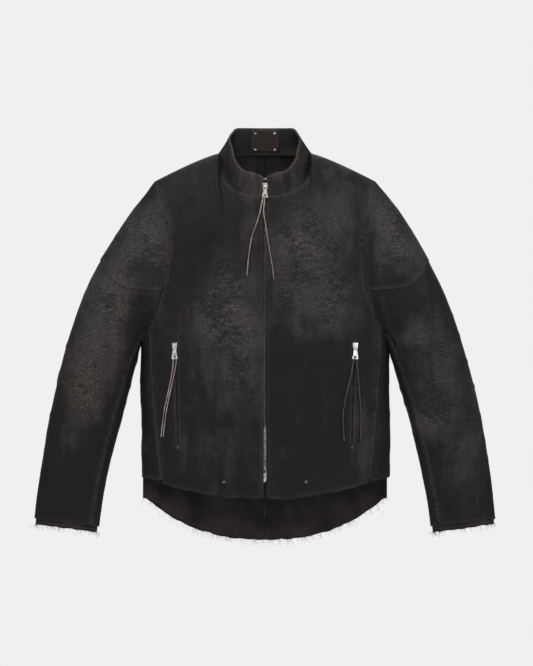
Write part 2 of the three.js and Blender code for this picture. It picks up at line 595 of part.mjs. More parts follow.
/** Everything that has a twin on the other side, modelled for the left. */
function side(parent, hand) {
  const name = (piece) => `${hand}_${piece}`;

  // body panels
  part(parent, name('back_panel'), skin(backHalf(backEdge), BACK_COLUMNS, PANEL_ROWS, LEATHER), leather);
  part(parent, name('side_panel'), skin(sidePanel, BACK_COLUMNS, SIDE_ROWS, LEATHER), leather);
  part(parent, name('front_panel_inner'),
    skin(frontInner(EDGE_X), INNER_COLUMNS, PANEL_ROWS, LEATHER), leather);
  part(parent, name('back_lining'),
    skin(backHalf(liningEdge), BACK_COLUMNS, PANEL_ROWS, LINING, LINING_DEPTH), liningCloth);
  part(parent, name('side_lining'),
    skin(roomForPocket(frontOuter(liningEdge)), FRONT_COLUMNS, PANEL_ROWS, LINING, LINING_DEPTH),
    liningCloth);
  part(parent, name('front_lining'),
    skin(roomForPocket(frontInner(LINING_START_X)), INNER_COLUMNS, PANEL_ROWS, LINING,
      LINING_DEPTH), liningCloth);

  // pocket
  const slotFrame = pocketFrame(parent);
  const slot = block([-EDGE_X, EDGE_X], [-SLOT_CUT, SLOT_CUT], [SLOT_END, SLOT_TOP])
    .applyMatrix4(slotFrame.matrix);
  part(parent, name('front_panel_outer'),
    cut(skin(frontOuter(frontEdge), FRONT_COLUMNS, PANEL_ROWS, LEATHER), slot), leather);
  pocket(slotFrame, name);

  // collar front
  part(parent, name('collar_front'),
    skin(collar(collarEdge, collarSplit - SPLIT_GAP), INNER_COLUMNS, COLLAR_ROWS, LEATHER), leather);
  part(parent, name('collar_facing_front'),
    skin(collar(FACING_START, collarSplit - SPLIT_GAP), INNER_COLUMNS, COLLAR_ROWS, LEATHER,
      FACING_DEPTH), leather);

  // sleeve
  part(parent, name('sleeve_cap'), skin(sleeveCap, CAP_COLUMNS, CAP_ROWS, LEATHER), leather);
  const frontSeam = (v) => UNDER_FRONT[0] + (UNDER_FRONT[1] - UNDER_FRONT[0]) * v;
  const seam = SLEEVE_SEAM_DEGREES;
  part(parent, name('sleeve_top'),
    skin(sleevePart((v) => frontSeam(v) - seam, () => UNDER_BACK - 360 + seam),
      TOP_COLUMNS, SLEEVE_ROWS, LEATHER), leather);
  part(parent, name('sleeve_under'),
    skin(sleevePart(() => UNDER_BACK - seam, (v) => frontSeam(v) + seam), UNDER_COLUMNS, SLEEVE_ROWS,
      LEATHER), leather);
  part(parent, name('sleeve_lining'),
    skin(sleevePart(() => 360 - SLEEVE_LINING_SEAM, () => SLEEVE_LINING_SEAM,
      1 + CUFF_LINING_SHOW), LINING_COLUMNS, SLEEVE_ROWS, LINING, SLEEVE_LINING_DEPTH),
    liningCloth);

  // front zip, this side of it
  const zip = new THREE.Group();
  zip.position.set(0, -HALF_DEPTH, 0);
  parent.add(zip);
  part(zip, name('zip_tape'), plate([
    [EDGE_X, TAPE_END_Z], [MAIN_TAPE_X, TAPE_END_Z], [MAIN_TAPE_X, COLLAR_TAPE_Z[0]],
    [COLLAR_TAPE_X, COLLAR_TAPE_Z[1]], [COLLAR_TAPE_X, ZIP_TOP_Z], [EDGE_X, ZIP_TOP_Z],
  ], TAPE_Y), tapeCloth);
  const teethTop = ZIP_TOP_Z - STOP_LENGTH - SEAT_GAP;
  part(zip, name('zip_teeth'), block(TEETH_X, TEETH_Y, [TEETH_END_Z, teethTop]), nickel);
  part(zip, name('zip_top_stop'),
    block(TEETH_X, [TEETH_Y[0] - STOP_PROUD, TEETH_Y[1] + STOP_PROUD],
      [ZIP_TOP_Z - STOP_LENGTH, ZIP_TOP_Z]), nickel);

  // hem stud
  const cap = part(parent, name('hem_stud'), head(PROFILE_STUD, STUD_RADIUS, STUD_HEIGHT), nickel);
  cap.position.set(STUD_X, -chestDepth(STUD_X) - 2 * SEAT_GAP, STUD_Z);
}

function pocketFrame(parent) {
  const at = ([x, z]) => new THREE.Vector3(x, -chestDepth(x), z);
  const top = at(POCKET_TOP);
  const down = at(POCKET_FOOT).sub(top);
  return frontFrame(parent, top, down, (POCKET_TOP[0] + POCKET_FOOT[0]) / 2);
}

function pocket(frame, name) {
  const rectangle = (halfWidth, low, high) =>
    [[-halfWidth, low], [halfWidth, low], [halfWidth, high], [-halfWidth, high]];
  const opening = new THREE.Path(rectangle(EDGE_X, CHAIN_END - CHAIN_STOP - SEAT_GAP, SLOT_TOP)
    .map(([x, z]) => new THREE.Vector2(x, z)));
  part(frame, name('pocket_tape'),
    plate(rectangle(POCKET_TAPE_X, SLOT_END - POCKET_TAPE_SPARE[0],
      SLOT_TOP + POCKET_TAPE_SPARE[1]), TAPE_Y, [opening]), tapeCloth);
  const [inside, outside] = TEETH_X;
  part(frame, name('pocket_zip_chain'), plate([
    [-outside, CHAIN_TOP], [-outside, CHAIN_END - CHAIN_STOP], [outside, CHAIN_END - CHAIN_STOP],
    [outside, CHAIN_TOP], [inside, CHAIN_TOP], [inside, CHAIN_END],
    [-inside, CHAIN_END], [-inside, CHAIN_TOP],
  ], TEETH_Y), nickel);
  part(frame, name('pocket_slider'), slider(), nickel);
  part(frame, name('pocket_pull'), pull(POCKET_PULL), nickel);

  const lip = TAPE_Y[1] + SEAT_GAP;
  const lipEnd = POCKET_TAPE_X - BAG_LIP;
  const bagShape = new THREE.Shape([
    [-BAG_REACH, BAG_DEPTH], [-POCKET_TAPE_X, BAG_DEPTH], [-POCKET_TAPE_X, lip],
    [-lipEnd, lip], [-lipEnd, BAG_DEPTH], [lipEnd, BAG_DEPTH], [lipEnd, lip],
    [POCKET_TAPE_X, lip], [POCKET_TAPE_X, BAG_DEPTH + BAG_WALL],
    [-BAG_REACH, BAG_DEPTH + BAG_WALL],
  ].map(([x, y]) => new THREE.Vector2(x, y)));
  const bag = new THREE.ExtrudeGeometry(bagShape, {
    depth: SLOT_TOP - BAG_END, bevelEnabled: false,
  }).translate(0, 0, BAG_END);
  part(frame, name('pocket_bag'), bag, liningCloth);

  const rivet = part(frame, name('pocket_rivet'), dome(), nickel);
  rivet.position.set(0, -SEAT_GAP, POCKET_FOOT[1] - POCKET_TOP[1]);
}

// ---------------------------------------------------------------- the jacket

const jacket = new THREE.Group();
jacket.name = 'leather_jacket';

const left = new THREE.Group();
jacket.add(left);
side(left, 'left');
const right = new THREE.Group();
right.scale.x = -1;
jacket.add(right);
side(right, 'right');

// rear of the collar, its facing and the neck patch
const rearColumns = 2 * (SIDE_COLUMNS + NAPE_COLUMNS);
part(jacket, 'collar_rear', skin(collarRear, rearColumns, COLLAR_ROWS, LEATHER), leather);
part(jacket, 'collar_facing_rear',
  skin(collarRear, rearColumns, COLLAR_ROWS, LEATHER, FACING_DEPTH), leather);
const patchDepth = FACING_DEPTH + LEATHER + 2 * SEAT_GAP;
const patchFace = collar(1 - PATCH_REACH, 1 + PATCH_REACH, PATCH_LOW, PATCH_HIGH);
part(jacket, 'neck_patch',
  skin(patchFace, PATCH_COLUMNS, COLLAR_ROWS, PATCH_THICKNESS, patchDepth), wornLeather);

// rivets of the neck patch, facing the wearer's neck
const rivetDepth = patchDepth + PATCH_THICKNESS + 2 * SEAT_GAP;
PATCH_RIVET_ROWS.forEach((share, row) => {
  [-1, 1].forEach((hand, column) => {
    const surface = collar(1, 1 - hand * PATCH_RIVET_REACH);
    const seat = surface(1, 1 - share);
    const up = surface(1, 0).sub(surface(1, 1)).normalize();
    const across = surface(1, 0.5).sub(surface(0.9, 0.5)).multiplyScalar(hand).normalize();
    const inward = across.clone().cross(up).normalize();
    const rivet = part(jacket, `neck_patch_rivet_${2 * row + column + 1}`, dome(), nickel);
    rivet.position.copy(seat).addScaledVector(inward, rivetDepth);
    rivet.setRotationFromMatrix(new THREE.Matrix4().makeBasis(
      across.clone().negate(), inward.clone().negate(), up));
  });
});

// bottom of the front zip
const foot = new THREE.Group();
foot.position.set(0, -HALF_DEPTH, TEETH_END_Z - SEAT_GAP);
jacket.add(foot);
part(foot, 'zip_pin', block(PIN_X, TEETH_Y, [-PIN_LENGTH, 0]), nickel);
part(foot, 'zip_box',
  block(BOX_X, [TEETH_Y[0] - BOX_PROUD, TEETH_Y[1] + BOX_PROUD], BOX_Z), nickel);

// slider and pull of the front zip
const mainZip = new THREE.Group();
mainZip.position.set(0, -HALF_DEPTH, MAIN_HINGE_Z);
jacket.add(mainZip);
part(mainZip, 'main_slider', slider(), nickel);
part(mainZip, 'main_pull', pull(MAIN_PULL), nickel);

// doubled laces that hang from the pulls
part(jacket, 'main_lace', laceTube(MAIN_LACE), lace);
part(jacket, 'left_pocket_lace', laceTube(LEFT_LACE), lace);
part(jacket, 'right_pocket_lace', laceTube(RIGHT_LACE), lace);

export default jacket;
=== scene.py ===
import math
import bpy
import numpy as np
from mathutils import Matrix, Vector
from mathutils.kdtree import KDTree


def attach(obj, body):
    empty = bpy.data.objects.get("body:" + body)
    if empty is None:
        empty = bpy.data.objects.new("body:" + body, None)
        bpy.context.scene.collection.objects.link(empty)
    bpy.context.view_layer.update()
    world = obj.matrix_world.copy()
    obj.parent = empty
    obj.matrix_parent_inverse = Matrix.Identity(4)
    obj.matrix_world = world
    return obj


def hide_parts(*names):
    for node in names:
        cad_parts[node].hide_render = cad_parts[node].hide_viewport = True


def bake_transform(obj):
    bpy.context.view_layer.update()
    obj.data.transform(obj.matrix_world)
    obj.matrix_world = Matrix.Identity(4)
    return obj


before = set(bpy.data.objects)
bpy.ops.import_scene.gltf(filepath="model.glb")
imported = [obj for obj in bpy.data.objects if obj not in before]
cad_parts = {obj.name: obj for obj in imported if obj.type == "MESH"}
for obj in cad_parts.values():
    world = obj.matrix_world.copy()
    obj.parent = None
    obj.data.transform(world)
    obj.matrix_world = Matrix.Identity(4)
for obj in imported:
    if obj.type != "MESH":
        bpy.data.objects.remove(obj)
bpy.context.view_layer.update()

# ---------------------------------------------------------------- studio
# The jacket hangs closed over a small pale floor, against an even pale background.
# A long lens looks straight at the front, with soft light from large panels.

CAMERA_AIM = (0.003, -0.36)          # x and z that the lens looks at
CAMERA_AWAY = 11.13
LENS = 300
FLOOR_Z = -1.1
FLOOR_HALF = 1.15
PALE = (0.62, 0.62, 0.615, 1)
SKY = (0.9, 0.9, 0.9, 1)
SKY_LIGHT, SKY_SEEN = 0.6, 0.968     # strength as a light, and as the background in view
PANELS = {                           # place, size, power, aim
    "key_panel": ((-1.7, -2.6, 1.5), 1.8, 62, (0, 0, -0.35)),
    "fill_panel": ((2.1, -2.4, 0.7), 2.0, 40, (0, 0, -0.4)),
    "top_panel": ((0, -0.4, 2.4), 2.2, 34, (0, 0, -0.3)),
    "rear_panel": ((0, 1.3, 1.2), 1.6, 14, (0, 0, -0.3)),
}

scene = bpy.context.scene
camera = bpy.data.objects.new("camera", bpy.data.cameras.new("camera"))
scene.collection.objects.link(camera)
camera.location = (CAMERA_AIM[0], -CAMERA_AWAY, CAMERA_AIM[1])
camera.rotation_euler = (math.radians(90), 0, 0)
camera.data.lens = LENS
scene.camera = camera
scene.view_settings.view_transform = "Standard"


def place(name, data):
    made = bpy.data.objects.new(name, data)
    scene.collection.objects.link(made)
    return made


def mesh_of(name, points, faces):
    mesh = bpy.data.meshes.new(name)
    mesh.from_pydata([tuple(map(float, p)) for p in points], [], [tuple(map(int, f)) for f in faces])
    mesh.update()
    return place(name, mesh)


def pointed(obj, target):
    obj.rotation_euler = (Vector(target) - obj.location).to_track_quat("-Z", "Y").to_euler()


for name, (spot, size, power, target) in PANELS.items():
    light = bpy.data.lights.new(name, "AREA")
    light.size, light.energy = size, power
    panel = place(name, light)
    panel.location = spot
    pointed(panel, target)

world = bpy.data.worlds.new("studio")
world.use_nodes = True
sky = world.node_tree
sky.nodes["Background"].inputs["Color"].default_value = SKY
seen = sky.nodes.new("ShaderNodeLightPath").outputs["Is Camera Ray"]
strength = sky.nodes.new("ShaderNodeMapRange")
sky.links.new(seen, strength.inputs["Value"])
strength.inputs["To Min"].default_value = SKY_LIGHT
strength.inputs["To Max"].default_value = SKY_SEEN
sky.links.new(strength.outputs["Result"], sky.nodes["Background"].inputs["Strength"])
scene.world = world

floor = mesh_of("floor", [(x, y, FLOOR_Z) for x, y in (
    (-FLOOR_HALF, -FLOOR_HALF), (FLOOR_HALF, -FLOOR_HALF), (FLOOR_HALF, FLOOR_HALF),
    (-FLOOR_HALF, FLOOR_HALF))], [(0, 1, 2, 3)])
paper = bpy.data.materials.new("paper")
paper.use_nodes = True
paper_shader = paper.node_tree.nodes["Principled BSDF"]
paper_shader.inputs["Base Color"].default_value = PALE
paper_shader.inputs["Roughness"].default_value = 0.9
floor.data.materials.append(paper)

# ---------------------------------------------------------------- laces
# A raw leather thong is doubled through the eye of each zip pull and hangs in two uneven strands.
# Each strand is square-cut and a little twisted.

MM = 0.001
LACE_WIDTH = 0.0024
LACE_THICK = 0.0019
LACE_POINTS = 40
LACE_TWIST = 2.6                     # turn of a strand from its eye to its free end, in radians
POCKET_EYE = (0.18033, -0.04678, -0.4078)
MAIN_EYE = (-0.0014, -0.0659, -0.0859)
MAIN_STRANDS = {
    "main_lace_long": [
        (-1.2, -67.9, -88.6), (-0.9, -67.3, -93), (-1.4, -66.2, -101), (-3, -65.3, -118),
        (0.4, -65.2, -138), (3.6, -65.2, -160), (9, -65.1, -194), (14, -64.9, -222), (18, -64.6, -254)],
    "main_lace_short": [
        (-2.4, -63.9, -88.6), (-4.4, -64.4, -94), (-7, -65, -104), (-10, -65.3, -118),
        (-17, -65, -142), (-26, -64.6, -168), (-31, -64.2, -196), (-34, -64, -222), (-36, -64, -246)],
}
LEFT_STRANDS = {
    "left_lace_inner": [
        (178.2, -48.9, -411), (177.2, -48.7, -415), (175.6, -48.3, -424), (169, -48.9, -457),
        (158.8, -51.2, -501), (155.8, -51.5, -531), (158.4, -51, -577)],
    "left_lace_outer": [
        (182, -45.2, -411), (183.2, -45.5, -416), (184.6, -45.4, -428), (187, -44.4, -457),
        (190.5, -43.2, -501), (192, -42.8, -540), (191, -43, -577)],
}
RIGHT_STRANDS = {
    "right_lace_outer": [
        (-182, -45.2, -411), (-183.2, -45.5, -416), (-184.4, -45.4, -430), (-192, -43, -472),
        (-201, -40.2, -513), (-208, -37.2, -568)],
    "right_lace_inner": [
        (-178.2, -48.9, -411), (-177.2, -48.7, -416), (-179.2, -47.3, -430), (-188, -44.4, -472),
        (-196.6, -41.8, -513), (-203.6, -39, -568)],
}


def spline(points, shares):
    """Points on a smooth curve through the given points, at shares from 0 to 1 of their number."""
    knots = np.asarray(points, float)
    knots = np.vstack([2 * knots[0] - knots[1], knots, 2 * knots[-1] - knots[-2]])
    at = np.asarray(shares, float) * (len(points) - 1)
    first = np.minimum(at.astype(int), len(points) - 2)
    t = (at - first)[:, None]
    p = [knots[first + i] for i in range(4)]
    gap = [np.maximum(1e-6, np.linalg.norm(p[i + 1] - p[i], axis=1) ** 0.5)[:, None] for i in range(3)]
    leave = ((p[1] - p[0]) / gap[0] - (p[2] - p[0]) / (gap[0] + gap[1]) + (p[2] - p[1]) / gap[1]) * gap[1]
    reach = ((p[2] - p[1]) / gap[1] - (p[3] - p[1]) / (gap[1] + gap[2]) + (p[3] - p[2]) / gap[2]) * gap[1]
    return (p[1] + leave * t + (3 * (p[2] - p[1]) - 2 * leave - reach) * t ** 2
            + (2 * (p[1] - p[2]) + leave + reach) * t ** 3)


def even(points, count):
    """The same curve, stepped evenly along its length."""
    fine = spline(points, np.linspace(0, 1, 600))
    run = np.r_[0, np.cumsum(np.linalg.norm(np.diff(fine, axis=0), axis=1))]
    return np.stack([np.interp(np.linspace(0, run[-1], count), run, fine[:, k]) for k in range(3)], 1)


def unit(v):
    return v / np.maximum(1e-12, np.linalg.norm(v, axis=-1, keepdims=True))


def tube(name, path, profile, twist):
    """A closed tube along a path; profile is its section as (across, out) pairs in metres."""
    path = np.asarray(path, float)
    along = unit(np.gradient(path, axis=0))
    out = unit(np.cross(np.cross(along, (0.0, -1.0, 0.0)), along))
    across = np.cross(along, out)
    turn = twist * np.linspace(0, 1, len(path)) ** 1.5
    c, s = np.cos(turn)[:, None], np.sin(turn)[:, None]
    out, across = out * c + across * s, across * c - out * s
    ring = len(profile)
    points = np.concatenate([path + across * a + out * b for a, b in profile])
    points = points.reshape(ring, len(path), 3).transpose(1, 0, 2).reshape(-1, 3)
    faces = [(i * ring + j, i * ring + (j + 1) % ring, (i + 1) * ring + (j + 1) % ring, (i + 1) * ring + j)
             for i in range(len(path) - 1) for j in range(ring)]
    faces += [tuple(range(ring))[::-1], tuple((len(path) - 1) * ring + j for j in range(ring))]
    made = mesh_of(name, points, faces)
    made.data.shade_smooth()
    return made


def rest_points(obj):
    """Keeps each point's place at rest for the materials, so that a pattern stays on its piece."""
    spots = np.empty(len(obj.data.vertices) * 3, np.float32)
    obj.data.vertices.foreach_get("co", spots)
    obj.data.attributes.new("rest", "FLOAT_VECTOR", "POINT").data.foreach_set("vector", spots)


def material(name, **values):
    """A new material with plain values on its shader; returns it with its tree and shader."""
    made = bpy.data.materials.new(name)
    made.use_nodes = True
    shader = made.node_tree.nodes["Principled BSDF"]
    for socket, value in values.items():
        shader.inputs[socket.replace("_", " ")].default_value = value
    return made, made.node_tree, shader


def node(tree, kind, *inputs, **settings):
    """Adds a node; inputs are (socket, value or source socket) pairs."""
    made = tree.nodes.new(kind)
    for key, value in settings.items():
        setattr(made, key, value)
    for socket, value in inputs:
        if isinstance(value, bpy.types.NodeSocket):
            tree.links.new(value, made.inputs[socket])
        else:
            made.inputs[socket].default_value = value
    return made


def ramp(tree, source, *stops):
    made = node(tree, "ShaderNodeValToRGB", ("Fac", source))
    bar = made.color_ramp.elements
    while len(bar) < len(stops):
        bar.new(0.5)
    for element, (spot, shade) in zip(bar, stops):
        element.position = spot
        element.color = shade if len(shade) == 4 else (*shade, 1)
    return made.outputs["Color"]


def rest_of(tree):
    return node(tree, "ShaderNodeAttribute", attribute_name="rest").outputs["Vector"]


lace_leather, tree, shader = material("raw_lace_leather", Roughness=0.6)
rest = rest_of(tree)
fibre = node(tree, "ShaderNodeTexNoise", ("Vector", rest), ("Scale", 900.0), ("Detail", 3.0))
stain = node(tree, "ShaderNodeTexNoise", ("Vector", rest), ("Scale", 38.0), ("Detail", 2.0))
both = node(tree, "ShaderNodeMath", (0, fibre.outputs["Fac"]), (1, stain.outputs["Fac"]), operation="ADD")
half = node(tree, "ShaderNodeMath", (0, both.outputs[0]), (1, 0.5), operation="MULTIPLY")
tree.links.new(ramp(tree, half.outputs[0], (0.3, (0.06, 0.047, 0.042)), (0.52, (0.17, 0.14, 0.128)),
                    (0.7, (0.42, 0.37, 0.34))), shader.inputs["Base Color"])
bump = node(tree, "ShaderNodeBump", ("Height", fibre.outputs["Fac"]), ("Strength", 0.5), ("Distance", 0.0004))
tree.links.new(bump.outputs["Normal"], shader.inputs["Normal"])
dark_lace_leather = lace_leather.copy()
dark_lace_leather.name = "dark_lace_leather"
for element, shade in zip(
        [n for n in dark_lace_leather.node_tree.nodes if n.type == "VALTORGB"][0].color_ramp.elements,
        ((0.014, 0.01, 0.009, 1), (0.035, 0.026, 0.023, 1), (0.12, 0.09, 0.08, 1))):
    element.color = shade

half_w, half_t, corner = LACE_WIDTH / 2, LACE_THICK / 2, 0.72
thong = [(half_w * a, half_t * b) for a, b in (
    (1, -0.5), (1, 0.5), (corner, 0.95), (0, 1), (-corner, 0.95), (-1, 0.5), (-1, -0.5),
    (-corner, -0.95), (0, -1), (corner, -0.95))]


def strand(name, eye, route, solid, finish):
    points = [eye] + [[v * MM for v in p] for p in route]
    path = even(points, LACE_POINTS)
    made = tube(name, path, thong, LACE_TWIST)
    rest_points(made)
    made.data.materials.append(finish)
    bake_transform(made)
    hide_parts(solid)


for name, route in MAIN_STRANDS.items():
    strand(name, MAIN_EYE, route,
           "main_lace", lace_leather)
for hand, side_x, strands in (("left", 1, LEFT_STRANDS), ("right", -1, RIGHT_STRANDS)):
    for name, route in strands.items():
        finish = dark_lace_leather if hand == "left" else lace_leather
        strand(name, (side_x * POCKET_EYE[0], *POCKET_EYE[1:]), route,
               f"{hand}_pocket_lace", finish)

# ---------------------------------------------------------------- outer leather of the body
# Two fronts, a back in two halves and a panel under each arm, cut from one thin, dark hide.
# The hide is dragged and rubbed by hand, so that it shows pale where it was worn and stays raw-edged.
# Part of the pale is painted highlight: fine specks, a strip down the left sleeve's outer edge and the right
# front's zip edge low down.

LEATHER = 1.6
HALF_CHEST, HALF_DEPTH = 249, 62
ROLL_HEIGHT = 150
NECK_HALF_WIDTH, NECK_FRONT_DEPTH, NECK_BACK_DEPTH = 93, 62, 40
NECK_DROP, NECK_POWER = 88, 2.5
SHOULDER_X, SHOULDER_DROP, SHOULDER_POWER = 221, 56, 1.2
PIT_Z, ARMHOLE_CUT, ARMHOLE_POWER = -379, 41, 0.8
SIDE_SEAM_TOP_Z, SIDE_TOP_POWER = -343, 2.45
FRONT_SEAM_CUT, FRONT_SEAM_POWER, BACK_SEAM_FLARE = 22.4, 1.6, 7.6
FRONT_HEM_Z, FRONT_HEM_RISE, SIDE_HEM_Z, SIDE_HEM_FRONT_DROP = -692, 30, -647, 8
TAIL_Z, TAIL_RISE, TAIL_POWER, TAIL_HALF_WIDTH = -777, 83, 2.45, 236
POCKET_TOP, POCKET_FOOT = (180, -388), (173.8, -589)
SLOT_Z = (-582, -378.5)
POCKET_CALM = 22                     # the hide lies flat this far to each side of a pocket zip
LIP = 0.85                           # the leather stops this far from the middle of a pocket zip
ZIP_LIP, LOW_LIP = 0.25, 2.6         # and of the front zip, where its edges spread below and at the slider
LOW_LIP_Z, SLIDER_LIP_Z = (-536, -556), (-88, -80)
ZONE_ROWS = (26, 46, 64)             # rows in the shoulder roll, down to the pit and down to the hem
NECK_COLUMNS, BACK_COLUMNS = 26, 56
SEAM_GAP, CENTRE_GAP = 0.15, 0.01    # each panel stops this far from its side seam and from the back's middle
PIT_GAP, LINING_GAP = 0.6, 0.3       # the side panel stops this far below the pit, the lining inside its seam
SHOULDER_GAP = 0.3                   # front and back stand this far from the middle along the shoulder

HIDE = (0.0052, 0.0044, 0.0048, 1)
RUBBED_AND_HIGHLIGHT = (0.044, 0.038, 0.0385, 1)
PALE_HIDE = (0.15, 0.135, 0.13, 1)
TAN_FLECK = (0.105, 0.068, 0.05, 1)
RAW_EDGE_AND_GLINT = (0.075, 0.064, 0.058, 1)
CUT_DARK, CUT_LIGHT = (0.012, 0.01, 0.009), (0.09, 0.075, 0.066)
MOST_WORN = 1.2
# rubbed patches, and one painted highlight down the left sleeve's outer edge: x, z, half width, half height,
# strength
FRONT_RUBS_AND_HIGHLIGHT = [
    (-70, -262, 66, 62, 1.05), (-45, -345, 64, 54, 1.0), (-50, -430, 66, 60, 0.85),
    (-50, -520, 45, 60, 0.55), (-80, -610, 70, 45, 0.35), (-170, -70, 45, 45, 0.35),
    (-25, -130, 34, 70, 0.5), (-115, -330, 25, 60, 0.5),
    (60, -140, 70, 60, 0.65), (75, -215, 80, 70, 1.05), (135, -300, 55, 50, 0.95), (45, -300, 40, 40, 0.6),
    (150, -110, 40, 60, 0.75), (75, -355, 60, 26, 0.45), (195, -560, 18, 90, 0.6),
    (-215, -200, 26, 90, 0.85), (-262, -150, 36, 60, 0.8), (-285, -240, 45, 60, 0.7),
    (-312, -300, 45, 70, 0.85), (-345, -410, 50, 80, 1.0), (-365, -510, 45, 60, 0.55),
    (255, -140, 45, 60, 1.0), (300, -205, 45, 36, 0.85), (235, -200, 25, 60, 0.5), (302, -362, 22, 28, 0.95),
    # the last patch on the next line, at x 428, is a painted highlight along the left sleeve's outer edge
    (330, -532, 24, 36, 0.95), (350, -440, 50, 90, 0.7), (392, -600, 42, 90, 0.75), (428, -520, 14, 90, 0.5),
    (0, 0, 90, 60, 0.5),
]
# tan flecks where the finish is broken: x, z, half width, half height, strength
TAN_SPOTS = [
    (-362, -470, 34, 62, 1.0), (-282, -290, 16, 60, 0.7), (-300, -410, 12, 60, 0.5),
    (-160, -330, 14, 30, 0.5)]
BACK_RUBS = [
    (0, -90, 150, 60, 0.8), (-90, -260, 90, 110, 0.9), (110, -330, 90, 120, 0.8),
    (0, -560, 170, 90, 0.5), (40, -720, 150, 50, 0.8), (-260, -160, 60, 90, 0.8),
    (265, -190, 60, 90, 0.9), (-370, -470, 60, 120, 1.0), (385, -520, 60, 120, 0.9),
]


def clamp01(v):
    return np.clip(v, 0, 1)


def smooth(v):
    v = clamp01(v)
    return v * v * (3 - 2 * v)


def half_ellipse(share):
    return np.sqrt(np.maximum(0, 1 - share * share))


def chest_depth(x):
    return HALF_DEPTH * half_ellipse(x / HALF_CHEST)


def shoulder_z(x):
    past = np.maximum(0, (x - NECK_HALF_WIDTH) / (SHOULDER_X - NECK_HALF_WIDTH))
    return -SHOULDER_DROP * past ** SHOULDER_POWER


def neck_dip(x):
    inside = np.maximum(0, 1 - np.minimum(1, x / NECK_HALF_WIDTH) ** NECK_POWER)
    return NECK_DROP * inside ** (1 / NECK_POWER)


def front_top(x):
    return np.where(x < NECK_HALF_WIDTH, -neck_dip(x), shoulder_z(x))


def back_top(x):
    return np.where(x < NECK_HALF_WIDTH, 0.0, shoulder_z(x))


def face_depth(x, neck_depth, drop):
    neck = neck_depth * half_ellipse(np.minimum(1, x / NECK_HALF_WIDTH))
    round_off = half_ellipse(1 - clamp01(drop / ROLL_HEIGHT))
    return neck + (chest_depth(x) - neck) * round_off + SHOULDER_GAP * (1 - round_off)


def armhole_x(z):
    share = clamp01((-SHOULDER_DROP - z) / (-SHOULDER_DROP - PIT_Z))
    straight = SHOULDER_X + (HALF_CHEST - SHOULDER_X) * share
    return straight - ARMHOLE_CUT * np.sin(math.pi * share) ** ARMHOLE_POWER


SEAM_TOP_X = float(armhole_x(np.array(float(SIDE_SEAM_TOP_Z))))


def below_seam_top(z):
    return np.maximum(0, SIDE_SEAM_TOP_Z - z) / (SIDE_SEAM_TOP_Z - SIDE_HEM_Z)


def front_seam_x(z):
    return SEAM_TOP_X - FRONT_SEAM_CUT * below_seam_top(z) ** FRONT_SEAM_POWER


def back_seam_x(z):
    return SEAM_TOP_X + BACK_SEAM_FLARE * np.minimum(1, below_seam_top(z))


def front_edge(z):
    return np.where(z > SIDE_SEAM_TOP_Z, armhole_x(z), front_seam_x(z)) - SEAM_GAP


def back_edge(z):
    return np.where(z > SIDE_SEAM_TOP_Z, armhole_x(z), back_seam_x(z)) - SEAM_GAP


def lining_edge(z):
    return np.where(z > PIT_Z, armhole_x(z), HALF_CHEST) - LINING_GAP


def front_hem(x):
    return FRONT_HEM_Z + FRONT_HEM_RISE * (x / front_seam_x(np.array(float(SIDE_HEM_Z)))) ** 2


def tail_hem(x):
    return TAIL_Z + TAIL_RISE * np.minimum(1, x / TAIL_HALF_WIDTH) ** TAIL_POWER


def slot_x(z):
    run = (z - POCKET_TOP[1]) / (POCKET_FOOT[1] - POCKET_TOP[1])
    return POCKET_TOP[0] + (POCKET_FOOT[0] - POCKET_TOP[0]) * run


def waves(points, size, seed, octaves=3, stretch=(1, 1, 1)):
    """Smooth random values of about -1 to 1; size is the longest wave in mm."""
    rng = np.random.default_rng(seed)
    flat = points.reshape(-1, 3) * np.asarray(stretch)
    total = np.zeros(len(flat))
    for octave in range(octaves):
        for _ in range(10):
            way = unit(rng.normal(size=3)) * 2 * math.pi / size * 2 ** octave * rng.uniform(0.6, 1.4)
            total += np.sin(flat @ way + rng.uniform(0, 2 * math.pi)) * 0.5 ** octave / 3.2
    return total.reshape(points.shape[:-1])


def outward(grid):
    """Unit normals of a grid of points whose columns run left to right as seen from outside."""
    return unit(np.cross(np.gradient(grid, axis=0), np.gradient(grid, axis=1)))


def rim_fade(shape, sides, span):
    """1 inside a grid, falling to 0 at the named sides over a number of cells."""
    rows, columns = (np.arange(n, dtype=float) for n in shape)
    fade = np.ones(shape)
    for side, line in (("top", rows[:, None]), ("bottom", rows[::-1, None]),
                       ("left", columns[None]), ("right", columns[None, ::-1])):
        if side in sides:
            fade = fade * smooth(line / span)
    return fade


def drape(points):
    """How far the hide stands out from its plain shape, in mm: slack waves and a few soft creases."""
    slack = 1.5 * waves(points, 170, 3, 2, (1, 1, 0.75)) + 0.35 * waves(points, 38, 5, 2)
    crease = 1 - np.abs(waves(points, 120, 11, 2, (0.8, 1, 1.3))) * 2.2
    return slack + 0.7 * np.clip(crease, 0, 1) ** 3


def total(rubs, points):
    """Sum of soft patches, each of which stays on its own side of the middle."""
    return sum(power * np.exp(-((points[..., 0] - x) / wide) ** 2 - ((points[..., 2] - z) / tall) ** 2)
               * (points[..., 0] * x >= 0) for x, z, wide, tall, power in rubs)


def on_front(points):
    return smooth(0.5 - points[..., 1] / 24)


def rubbed_and_highlit_at(points):
    """How worn the hide is at each point, from 0 to MOST_WORN, with the painted highlight on the left
    sleeve's outer edge counted in.
    """
    front = on_front(points)
    return (np.clip(total(FRONT_RUBS_AND_HIGHLIGHT, points), 0, MOST_WORN) * front
            + np.clip(total(BACK_RUBS, points), 0, MOST_WORN) * (1 - front))


